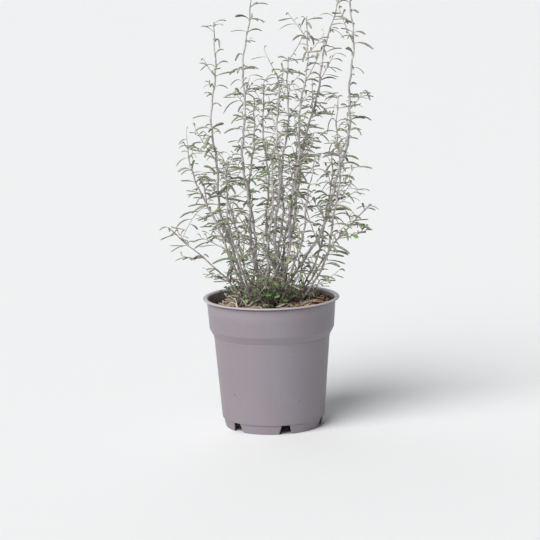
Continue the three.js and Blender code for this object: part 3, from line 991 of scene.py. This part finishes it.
def grow_shoot(draw, fits, root, upward, bearing, reach=SHOOT_LENGTH, gap=SHOOT_GAP, leaf_size=SHOOT_LEAF):
    """A side shoot that curves upward, as a line of points, and the leaves along it."""
    length = reach * (0.5 + 0.8 * draw())
    heading = heading_from(upward, bearing, math.radians(34 + 22 * draw()))

    def at(share):
        share = np.asarray(share, float)[..., None]
        return root + heading * length * share + UP * SHOOT_RISE * length * share**2

    if not fits(at([0.35, 0.7, 1])):
        return [], []
    leaves = []
    count = int(length / gap)
    for i in range(1, count + 1):
        slope = unit(heading + UP * 2 * SHOOT_RISE * i / count)
        leaves += grow_leaf(draw, fits, at(i / count), slope, bearing + i * GOLDEN_TURN, leaf_size)
    return [at(np.linspace(0, 1, 9))], leaves


print("leaf and shoot rules ready")


# %% Grow the model's leaves
LEAF_SHARES = {
    "front_sprig": 0.62,
    "left_sprig": 0.42,
    "right_sprig": 0.62,
    "back_sprig": 0.62,
    "left_low": 0.85,
}


def grow_stem(index, stem):
    """The model's growth on one stem: shoots, leaves, and the heights of its nodes."""
    draw = seeded(stem.seed)
    fits = own_space(index)
    twigs, leaves, nodes = [], [], []
    height = stem.bare + 3
    while height < stem.span:
        share = height / stem.span
        root, upward = stem.at(share), stem.upward(share)
        bearing = stem.phase + len(nodes) * GOLDEN_TURN
        size = 0.72 + 0.28 * math.sin(math.pi * (0.25 + 0.6 * share))
        leaves += grow_leaf(draw, fits, root, upward, bearing, size)
        if draw() < SECOND_LEAF:
            leaves += grow_leaf(draw, fits, root, upward, bearing + 2.2, 0.8 * size)
        if draw() < SHOOT_CHANCE * (1 - share) and not stem.is_sprig:
            more_twigs, more_leaves = grow_shoot(draw, fits, root, upward, bearing + 4.2)
            twigs += more_twigs
            leaves += more_leaves
        nodes.append(height)
        height += (SPRIG_GAP if stem.is_sprig else NODE_GAP) * (0.75 + 0.5 * draw())
    for turn in (0, 2.1, 4.2):
        leaves += grow_leaf(draw, fits, stem.at(0.985), UP, stem.phase + turn, 0.6)
    return twigs, leaves, nodes


base_twigs, base_leaves = [], []
node_heights = {}
for index, stem in enumerate(stems):
    twigs, leaves, node_heights[stem.name] = grow_stem(index, stem)
    for leaf in leaves:
        leaf.length *= LEAF_SHARES.get(stem.name, 1)
    base_twigs += twigs
    base_leaves += leaves
print(len(base_leaves), "leaves and", len(base_twigs), "shoots of the model")

# %% [markdown]
# ### Where the fine growth stands
#
# The photo is densest low down and in the middle, where short twigs cross, and open on the tall wands. So
# the fine growth has a fullness. It holds up to a height that is greatest in the middle and least at the
# sides, and fades to 0 above that. Two more tables make it vary from left to right and from the mix upward.
# Each stem also has its own share, one low down and one high up, as some of the photo's stems are barer than
# others.

# %% Say how full the growth is
FULL_HEIGHTS = {-100: 40, -75: 175, -45: 165, -22: 195, 35: 205, 50: 195, 65: 110, 104: 40}
FULL_SHARES = {-100: 0.8, -75: 1.45, -45: 1.32, -22: 0.92, 0: 0.72, 18: 0.6, 35: 1.35, 52: 0.95, 70: 0.6}
FULL_RISES = {0: 0.9, 60: 0.76, 130: 1, 200: 1.3}
FADE = 60
LEAFY_SHARES = (0.3, 0.7)
LEAFY = {
    "left_low": (0.3, 0.4),
    "left_mid": (1.1, 1.2),
    "left_top": (1, 1.3),
    "right_inner": (0.95, 0.7),
    "right_lean": (1.3, 0.8),
    "right_tall": (0.25, 0.4),
    "right_mid": (0.3, 1.6),
    "right_low": (0.6, 0.6),
    "far_right": (0.5, 1.1),
    "back_right": (0.8, 0.8),
    "front_right": (0.4, 0.4),
    "front_left": (0.85, 1),
    "front_sprig": (0.5, 0.5),
    "left_sprig": (0.12, 0.12),
    "right_sprig": (0.25, 0.25),
}
FOOT_HEIGHT = 25
FOOT_LEAFY = 0.65
NODE_REACH = 6


def look_up(table, x):
    """The value of a table at x, in a straight line from one entry to the next."""
    return np.interp(x, list(table), list(table.values()))


def fullness(point):
    """How thickly the fine growth stands at a point: about 1 low down, 0 on the tall wands."""
    height = point[2] - MIX_TOP
    fade = 1 - (height - look_up(FULL_HEIGHTS, point[0])) / FADE
    return look_up(FULL_SHARES, point[0]) * look_up(FULL_RISES, height) * max(0, min(1, fade))


def settle(stem, height):
    """The height of the stem's nearest node, if one is near, as leaves stand in clusters at the nodes."""
    nearest = min(node_heights[stem.name], key=lambda node: abs(node - height))
    return nearest if abs(nearest - height) < NODE_REACH else height


shown = [round(float(fullness((0, 0, z))), 2) for z in (120, 250, 400)]
print("fullness at the foot, middle and top:", shown)

# %% [markdown]
# ### Finer twigs and leaves
#
# Every few millimetres of stem gets a leaf, a spur with a few small leaves, or a short twig, each by a
# chance that follows the fullness. The model's shoots get spurs as well. Placing every leaf by eye would
# take days and could not be changed afterwards, while a rule with a seed gives the same plant each time.

# %% Grow the finer twigs and leaves
FINE_SEED = 101
SHOOT_SPUR_SEED = 3
FINE_STEP = 5.5
LEAF_CHANCE, MORE_LEAVES = 0.11, 0.42
SPUR_CHANCE, MORE_SPURS = 0.17, 0.18
TWIG_CHANCE = 0.26
fine_twigs, fine_leaves = [], []


def keep_fine(growth):
    """Adds the twigs and leaves of one growth to the finer ones."""
    fine_twigs.extend(growth[0])
    fine_leaves.extend(growth[1])


def grow_spur(draw, root, upward, bearing, reach):
    """A short spur with a few small leaves at its end."""
    heading = heading_from(upward, bearing, math.radians(40 + 30 * draw()))
    length = reach * (0.3 + 0.7 * draw())
    share = np.linspace(0, 1, 4)[:, None]
    line = root + heading * length * share + UP * 0.2 * length * share**2
    leaves = []
    for k in range(2 + int(2.5 * draw())):
        spot = line[0] + (line[-1] - line[0]) * (0.5 + 0.5 * draw())
        size = 0.3 + 0.24 * draw()
        leaves += grow_leaf(draw, clear_of_stems, spot, heading, k * GOLDEN_TURN + bearing, size)
    return [line], leaves


for stem in stems:
    draw = seeded(stem.seed + FINE_SEED)
    height, count = 3, 0
    while height < stem.span - 3:
        share = settle(stem, height) / stem.span
        root, upward = stem.at(share), stem.upward(share)
        leafy = np.interp(share, LEAFY_SHARES, LEAFY.get(stem.name, (1, 1)))
        is_low = height < FOOT_HEIGHT
        full = fullness(root) * (FOOT_LEAFY if is_low else 1)
        bearing = stem.phase + count * GOLDEN_TURN + 1.3
        if draw() < leafy * (LEAF_CHANCE + MORE_LEAVES * full):
            size = (0.45 if is_low else 0.6 + 0.15 * min(1, abs(root[0]) / 50)) + 0.3 * draw()
            fine_leaves += grow_leaf(draw, clear_of_stems, root, upward, bearing, size)
        if draw() < leafy * (SPUR_CHANCE + MORE_SPURS * full):
            keep_fine(grow_spur(draw, root, upward, bearing + 2.6, 3 + 5 * full))
        if draw() < leafy * TWIG_CHANCE * full:
            reach, size = 14 + 16 * draw(), 0.42 if is_low else 0.6
            keep_fine(grow_shoot(draw, clear_of_stems, root, upward, bearing + 4.6, reach, 5, size))
        height += FINE_STEP * (0.75 + 0.5 * draw())
        count += 1
draw = seeded(SHOOT_SPUR_SEED)
for twig in base_twigs:
    for share in (0.3, 0.6, 0.85):
        keep_fine(grow_spur(draw, twig[round(share * 8)], unit(twig[-1] - twig[0]), 6 * draw(), 4))
print(len(fine_leaves), "finer leaves and", len(fine_twigs), "spurs and twigs")

# %% [markdown]
# ### The foot
#
# At its foot the plant is a tangle. Thin bare twigs cross between the stems. More leaves could fill the
# space too, but would make it too green, where the photo is mostly grey and brown.

# %% Cross the stems with bare twigs
INNER_TWIGS = 240
INNER_WIDTH = 34

inner_twigs = []
for _ in range(INNER_TWIGS):
    stem = stems[int(len(stems) * draw())]
    share = min(0.9, (2 + 95 * draw() ** 1.4) / stem.span)
    heading = heading_from(stem.upward(share), 2 * math.pi * draw(), math.radians(28 + 50 * draw()))
    length = 14 + 30 * draw()
    t = np.linspace(0, 1, 10)[:, None]
    bend = 0.16 * length * (draw() - 0.5) * np.sin(3.1 * t) + 0.02 * length * np.sin(9 * t)
    line = stem.at(share) + heading * length * t + unit(np.cross(heading, UP)) * bend
    if within_reach(line[1:]) and abs(line[-1, 0] + 4) < INNER_WIDTH:
        inner_twigs.append(line)
print(len(inner_twigs), "inner twigs")

# %% [markdown]
# Shorter twigs root in the mix between the stems, each with a few tiny leaves.

# %% Root small twigs in the mix
FOOT_TWIGS = 88
ROOTED = MIX_TOP + 1.6


def flat_way(bearing):
    """The level direction at a bearing."""
    return np.array([math.cos(bearing), math.sin(bearing), 0])


foot_twigs, foot_leaves = [], []
for _ in range(FOOT_TWIGS):
    out, bearing = math.sqrt(draw()), 2 * math.pi * draw()
    root = np.array([29 * out * math.cos(bearing) - 6, 21 * out * math.sin(bearing) - 4, ROOTED])
    turn, rise = 2 * math.pi * draw(), 0.1 + 1.1 * draw()
    heading = unit(flat_way(turn) + rise * UP)
    length = 9 + 17 * draw()
    t = np.linspace(0, 1, 9)[:, None]
    bow = (draw() - 0.5) * length * t * (1 - t)
    lift = 0.35 * draw() * length * np.sin(3.1 * t)
    line = root + heading * length * t + unit(np.cross(heading, UP)) * bow + UP * lift
    if not within_reach(line):
        continue
    foot_twigs.append(line)
    for _ in range(1 + int(4 * draw())):
        spot = line[2 + int(7 * draw())]
        way = unit(np.array([draw() - 0.5, draw() - 0.5, 0.1 + 0.6 * draw()]))
        leaf = Leaf(spot, way, 3 + 4.5 * draw(), 0.4 * draw(), LEAF_ROLL * (draw() - 0.5))
        if within_reach(leaf.probes()):
            foot_leaves.append(leaf)
print(len(foot_twigs), "foot twigs with", len(foot_leaves), "small leaves")

# %% [markdown]
# Round the edge of the clump stand bright oval leaves, each on a twig of its own. A leaf that faces inward
# would hide, so each is rolled to turn its face outward and shows from its own side.

# %% Set the oval leaves
OVAL_LEAVES = 34
OVAL_SEED = 8

oval_leaves = []
draw = seeded(OVAL_SEED)
while len(oval_leaves) < OVAL_LEAVES:
    out, way = 18 + 27 * draw(), flat_way(2 * math.pi * draw())
    across = np.array([-way[1], way[0], 0]) * (1 if draw() < 0.5 else -1)
    tip = np.array([out * way[0] - 1, 0.8 * out * way[1] + 1, MIX_TOP + 4 + 15 * draw()])
    root = np.array([*(0.72 * tip[:2]), ROOTED])
    t = np.linspace(0, 1, 7)[:, None]
    heading = unit(across + 0.6 * draw() * way + (0.8 * draw() - 0.1) * UP)
    leaf = Leaf(tip, heading, 4.6 + 2.8 * draw(), 0.3 * draw(), 0.4 + 0.8 * draw())
    if leaf.frame()[1] @ way > 0:
        leaf.roll = -leaf.roll
    if within_reach(np.array([tip, leaf.at(1)])):
        foot_twigs.append(root + (tip - root) * t + UP * 2.5 * np.sin(3.1 * t))
        oval_leaves.append(leaf)
print(len(oval_leaves), "oval leaves, and now", len(foot_twigs), "foot twigs")

# %% [markdown]
# ### Side twigs that show
#
# A few side twigs stand out in the photo, such as the drooping one at the far left. They are listed one by
# one:
# the stem and height where each leaves it, how far it runs, how much it sags and how many leaves end it.

# %% Add the side twigs
FORKS = [
    ("left_mid", 99, (-23, -4, -5), 23, 6),
    ("left_mid", 52, (-24, -5, 17), 3, 7),
    ("left_low", 58, (-9, -5, 15), 2, 3),
    ("right_mid", 92, (22, -6, 20), 3, 5),
    ("right_lean", 175, (8, -10, 34), 0, 7),
    ("right_lean", 205, (14, -8, 26), 0, 7),
    ("right_inner", 245, (-16, 3, 24), 2, 5),
    ("left_top", 186, (-9, 4, 14), 1, 6),
    ("left_top", 200, (8, -5, 13), 1, 6),
    ("right_mid", 170, (-9, 3, 12), 1, 5),
]

for name, height, run, sag, count in FORKS:
    stem = next(stem for stem in stems if stem.name == name)
    t = np.linspace(0, 1, 9)[:, None]
    line = stem.at(settle(stem, height) / stem.span) + np.array(run) * t - UP * sag * t**2
    fine_twigs.append(line)
    for k in range(count):
        spot, slope = line[8 - k], unit(line[8 - k] - line[7 - k])
        fine_leaves += grow_leaf(draw, clear_of_stems, spot, slope, 1 + k * 2.9, 0.5 + 0.35 * draw())
print(len(fine_leaves), "finer leaves and", len(fine_twigs), "spurs and twigs in all")

# %% [markdown]
# ## Stems
#
# A young corokia stem is thin and wiry, swollen a little at each node, with felted bark that is pale grey
# above and browner and rougher at the foot. A plain curve with a bevel would be as round and smooth as wire.
# A tube with a ring every millimetre and a half has room for the relief: the radius of every corner is the
# stem's own, plus the swellings and noise. The bark's age is dealt out face by face with some chance in it,
# so that one colour passes into the next without a line.

# %% Draw the stems
STEM_SIDES = 10
RING_GAP = 1.6
STEM_SHARES = (0.72, 0.9)
ZIGZAG = 0.4
RELIEF_REACH = 2.2
RELIEF_DEPTH = 0.16
AGE_SPREAD = 44
GROWN_FROM, YOUNG_FROM = 34, 110
RELIEF_RING = [RELIEF_REACH * flat_way(a) for a in np.arange(STEM_SIDES) * 2 * math.pi / STEM_SIDES]

stem_heap = Heap()
for stem in stems:
    rings = max(8, round(stem.span / RING_GAP))
    shares = np.linspace(0, 1, rings + 1)
    heights = shares * stem.span
    points = np.array([stem.at(share) for share in shares])
    points[0, 2] -= 2.5
    points[:, 0] += ZIGZAG * np.sin(heights / 3.5 + stem.phase)
    points[:, 1] += ZIGZAG * np.cos(heights / 3.9 + stem.phase)
    radii = np.interp(shares, (0, 0.5), STEM_SHARES) * np.array([stem.radius(share) for share in shares])
    for node in node_heights[stem.name]:
        radii = radii + 0.2 * np.exp(-(((heights - node) / 1.5) ** 2))
    radii = radii + 0.5 * np.exp(-heights / 3)
    levels = [UP * (height / 5 + stem.phase) for height in heights]
    relief = np.array([[noise.noise(Vector(around + level)) for around in RELIEF_RING] for level in levels])
    rough = 1 + RELIEF_DEPTH * relief * np.clip(1 - heights / 70, 0.25, 1)[:, None]
    corners, faces = tube(points, radii[:, None] * rough, STEM_SIDES)
    spray = seeded(stem.seed)
    ages = [heights[min(i // STEM_SIDES, rings)] + AGE_SPREAD * (spray() - 0.5) for i in range(len(faces))]
    stem_heap.add(corners, faces, [int(age >= GROWN_FROM) + int(age >= YOUNG_FROM) for age in ages])
print("stem faces:", len(stem_heap.faces))

# %% [markdown]
# The twigs are too thin for relief to show, so they are plain tapering tubes with fewer sides. Those at the
# foot take turns in three barks, as the tangle there is pale in places and nearly black in others: the dark
# bark is partly painted shade for the deep parts of the tangle, and the inner twigs low down take it too.

# %% Draw the twigs
TWIG, BASE_SHADE, PALE = range(3)
# The dark base bark is partly painted shade for the deep parts of the tangle.
FOOT_BARKS = (PALE, BASE_SHADE, TWIG, PALE, BASE_SHADE)
INNER_BASE_HEIGHT = 22

twig_heap = Heap()
for twig in base_twigs:
    twig_heap.add_twig(twig, 0.9 * SHOOT_RADIUS, 0.5 * SHOOT_RADIUS, 6, TWIG)
for twig in fine_twigs:
    thick = 0.36 + 0.006 * np.linalg.norm(twig[-1] - twig[0])
    twig_heap.add_twig(twig, thick, 0.6 * thick, 5, TWIG)
for twig in inner_twigs:
    twig_heap.add_twig(twig, 0.6, 0.3, 5, BASE_SHADE if twig[0, 2] < MIX_TOP + INNER_BASE_HEIGHT else TWIG)
for count, twig in enumerate(foot_twigs):
    twig_heap.add_twig(twig, 0.6, 0.35, 5, FOOT_BARKS[count % len(FOOT_BARKS)])
print("twig faces:", len(twig_heap.faces))

# %% [markdown]
# ### Bark
#
# Felt covers the bark and is rubbed off in places, down to a darker ground. Painting that on an image would
# need the tubes unwrapped, while noise on the object's own coordinates needs no unwrapping. Long streaks
# come from noise that is drawn out upward. Each age of bark is a pair of colours and a depth of relief.

# %% Paint the bark
STEM_BARKS = {
    "bark_old": ((82, 74, 69), (198, 189, 182), 0.0003),
    "bark_grown": ((128, 122, 121), (192, 187, 186), 0.0002),
    "bark_young": ((138, 134, 135), (203, 200, 201), 0.00015),
}
TWIG_BARKS = {
    "bark_twig": ((150, 144, 138), (208, 203, 198), 0.00012),
    # Dark bark: partly the foot's own darker bark, partly painted shade in the depth of the tangle.
    "bark_base_shade": ((44, 38, 33), (166, 156, 143), 0.0002),
    "bark_pale": ((188, 178, 166), (238, 231, 221), 0.0002),
}


def bark_paint(dark, light, rough):
    """A paint for bark: pale felt over a darker ground, streaked along the stem and rubbed in places."""

    def paint(place):
        streak = place.grain(900, 4, (1, 1, 0.25))
        patch = place.grain(170, 3)
        felt = (streak * 0.6 + patch * 0.4).step(0.34, 0.64)
        return {
            "Base Color": felt.colour(rgb(*dark), rgb(*light)),
            "Roughness": 0.72 + 0.2 * streak,
            "Normal": streak.bump(rough),
        }

    return paint


mass_names = [name for name in node_names if name.startswith("leaves_")]
stem_barks = [make_finish(name, bark_paint(*bark)) for name, bark in STEM_BARKS.items()]
twig_barks = [make_finish(name, bark_paint(*bark)) for name, bark in TWIG_BARKS.items()]
stem_piece = stem_heap.piece("stems_with_bark", stem_barks)
twig_piece = twig_heap.piece("twigs_and_spurs", twig_barks)
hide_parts(*[name for name in node_names if name.startswith("stem_")])
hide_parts(*mass_names)
for piece in (stem_piece, twig_piece):
    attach(piece, "root")
print("stems:", triangles(stem_piece), "triangles, twigs:", triangles(twig_piece))

# %% [markdown]
# ## Leaves
#
# A corokia leaf is a narrow strap that widens towards a blunt tip, dull olive-grey above and silvery
# beneath, with its edges rolled under. A flat card would show neither the rolled edge nor the pale back, so
# each leaf is a thin closed blade: rings of eight corners, five round the upper face and three on the lower,
# strung along the leaf's arch. Each face belongs to one of three parts: upper face, margin or lower face.

# %% Define a blade
UPPER, EDGE, LOWER = range(3)
BLADE_PARTS = [EDGE, UPPER, UPPER, EDGE, EDGE, LOWER, LOWER, EDGE]
BLADE_ACROSS = np.array([1, 0.8, 0, -0.8, -1, -0.5, 0, 0.5]) / 2
BLADE_DOWN = np.array([0.295, 0, -0.06, 0, 0.295, 0.17, 0.21, 0.17])
SMALL_STATIONS = [0.02, 0.25, 0.5, 0.75, 0.93, 1]
STRAP = ([0.02, 0.14, 0.3, 0.48, 0.66, 0.82, 0.93, 1], [0.34, 0.36, 0.6, 0.86, 1, 1, 0.84, 0.34])
SMALL = (SMALL_STATIONS, [0.36, 0.6, 0.92, 1, 0.78, 0.34])
OVAL = (SMALL_STATIONS, [0.2, 0.78, 1, 0.9, 0.6, 0.2])


def add_leaf(heap, leaf, shape, width, finishes):
    """Adds a leaf. shape is its stations and its width at each, and width its share of the length."""
    side, down = leaf.frame()
    stations = np.array(shape[0])[:, None]
    arch = leaf.length * stations**3 * (leaf.sweep * side + leaf.curl * down)
    wide = width * leaf.length * np.array(shape[1])[:, None, None]
    section = BLADE_ACROSS[:, None] * side + BLADE_DOWN[:, None] * down
    corners = (leaf.at(shape[0]) + arch)[:, None, :] + wide * section
    parts = BLADE_PARTS * (len(stations) - 1) + [UPPER, EDGE]
    heap.add(corners.reshape(-1, 3), ring_faces(len(stations), 8), [finishes[part] for part in parts])


print("blade ready")

# %% [markdown]
# ### Laying out the leaves
#
# Two thousand leaves in a few colours look more alive than a single changing colour, so whole finishes are
# dealt out by chance. Most leaves get one of three dull colours, the darkest one more often low down as
# painted shade inside the crown, with a margin painted dark as the shade of its rolled-under edge. Low down
# and on small leaves there is more deep green, and here and there a bright young leaf, a yellow tip or a red
# old one. The small leaves at the foot take turns in a fixed list of finishes, some of them dark as painted
# shade.

# %% Deal out the leaves' finishes
OLIVE, BROWN, DARK, GREEN, YOUNG, YOUNG_BACK, TIP, SILVER, RED, MARGIN_SHADE = range(10)
BRIGHT = (YOUNG, YOUNG, YOUNG_BACK)
DEEP = (GREEN, GREEN, YOUNG_BACK)
# Some foot finishes are dark, partly as painted shade at the foot of the crown.
FOOT_FINISHES = [
    (DARK, MARGIN_SHADE, SILVER),
    (GREEN, GREEN, SILVER),
    (DARK, DARK, SILVER),
    (OLIVE, MARGIN_SHADE, SILVER),
    (BROWN, MARGIN_SHADE, SILVER),
    BRIGHT,
    (SILVER, MARGIN_SHADE, SILVER),
]


def leaf_finish(draw, height, is_young, is_small):
    """The finishes of one leaf's upper face, margin and lower face, by chance, size and height."""
    pick = draw()
    if is_young:
        return BRIGHT if pick < 0.8 else DEEP
    low = max(0, 1 - height / 90)
    if is_small and pick > 0.97:
        return (TIP, TIP, YOUNG_BACK) if pick > 0.98 else (RED, RED, SILVER)
    if is_small and pick < 0.01 + 0.03 * low:
        return BRIGHT
    if pick < (0.03 + 0.15 * max(0, 1 - height / 200) + 0.2 * low) * (1 if is_small else 0.55):
        return (GREEN, GREEN, SILVER)
    # The third, dark colour comes more often low down, partly as painted shade inside the crown.
    return (int((2.5 + 0.49 * max(0, 1 - height / 140)) * draw()), MARGIN_SHADE, SILVER)


print("finishes for the foot's small leaves:", len(FOOT_FINISHES))

# %% [markdown]
# Long leaves become straps and short ones small blades, of varying width. Each sweeps to a side and curls
# down by chance. Near the mix some turn into young leaves, which are short and broad. Low down no leaf
# curls, or it would hang over the pot's lip.

# %% Lay out the leaves
LAYOUT_SEED = 5
SMALL_UNDER = 10
STRAP_FROM = 12.5
CURL_FROM = 40
YOUNG_HEIGHT = 45
STRAP_WIDTHS = (0.078, 0.122)
SMALL_WIDTHS = (0.14, 0.2)
YOUNG_WIDTH, FOOT_WIDTH, OVAL_WIDTH = 0.44, 0.3, 0.52


def between(ends, share):
    """The value at a share of the way from the first end to the second."""
    return ends[0] + (ends[1] - ends[0]) * share


strap_heap, small_heap, young_heap = Heap(), Heap(), Heap()
draw = seeded(LAYOUT_SEED)
for leaf in base_leaves + fine_leaves:
    height = leaf.root[2] - MIX_TOP
    is_young = draw() < 0.12 * max(0, 1 - height / YOUNG_HEIGHT) + (0.006 if height < 120 else 0)
    finishes = leaf_finish(draw, height, is_young, leaf.length < SMALL_UNDER)
    leaf.sweep = 0.3 * (draw() - 0.5)
    leaf.curl = (0.45 * draw() ** 3 - 0.08) * (height > CURL_FROM)
    if is_young:
        leaf.length = 5 + 4 * draw()
        leaf.sweep = leaf.curl = 0
        add_leaf(young_heap, leaf, SMALL, YOUNG_WIDTH, finishes)
    elif leaf.length > STRAP_FROM:
        add_leaf(strap_heap, leaf, STRAP, between(STRAP_WIDTHS, draw()), finishes)
    else:
        add_leaf(small_heap, leaf, SMALL, between(SMALL_WIDTHS, draw()), finishes)
for count, leaf in enumerate(foot_leaves):
    add_leaf(small_heap, leaf, SMALL, FOOT_WIDTH, FOOT_FINISHES[count % len(FOOT_FINISHES)])
for count, leaf in enumerate(oval_leaves):
    add_leaf(young_heap, leaf, OVAL, OVAL_WIDTH, DEEP if count % 5 == 0 else BRIGHT)
print("leaf faces:", len(strap_heap.faces), len(small_heap.faces), len(young_heap.faces))

# %% [markdown]
# ### The leaves' colours
#
# Each finish is two near colours in a faint mottle, so that no leaf is one flat colour. The silver one of
# the lower faces has a little sheen as well, as its felt has.

# %% Paint the leaves
LEAF_COLOURS = {
    "leaf_olive": ((122, 136, 100), (162, 174, 136)),
    "leaf_brown": ((143, 141, 113), (184, 180, 150)),
    "leaf_dark": ((72, 79, 64), (106, 113, 94)),
    "leaf_green": ((88, 117, 70), (128, 155, 100)),
    "leaf_young": ((108, 176, 80), (156, 216, 116)),
    "leaf_young_back": ((142, 178, 118), (168, 200, 146)),
    "leaf_tip": ((160, 170, 88), (186, 196, 110)),
    "leaf_silver": ((194, 190, 172), (224, 220, 202)),
    "leaf_red": ((150, 84, 66), (184, 110, 86)),
    # Dark margin: painted shade of the rolled-under edge.
    "leaf_margin_shade": ((88, 92, 78), (125, 128, 111)),
}


def leaf_paint(dark, light):
    """A paint for a leaf: two near colours in fine mottle, with a slightly uneven surface."""

    def paint(place):
        mottle = place.grain(420, 3)
        return {
            "Base Color": mottle.step(0.32, 0.68).colour(rgb(*dark), rgb(*light)),
            "Roughness": 0.5 + 0.2 * mottle,
            "Normal": place.grain(1500, 2).bump(0.00008),
        }

    return paint


leaf_finishes = [
    make_finish(name, leaf_paint(*colours), Sheen_Weight=0.2 if name == "leaf_silver" else 0)
    for name, colours in LEAF_COLOURS.items()
]
heaps = {"strap_leaves": strap_heap, "small_leaves": small_heap, "young_leaves": young_heap}
for name, heap in heaps.items():
    piece = heap.piece(name, leaf_finishes)
    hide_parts(*mass_names)
    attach(piece, "root")
    print(name, triangles(piece), "triangles")
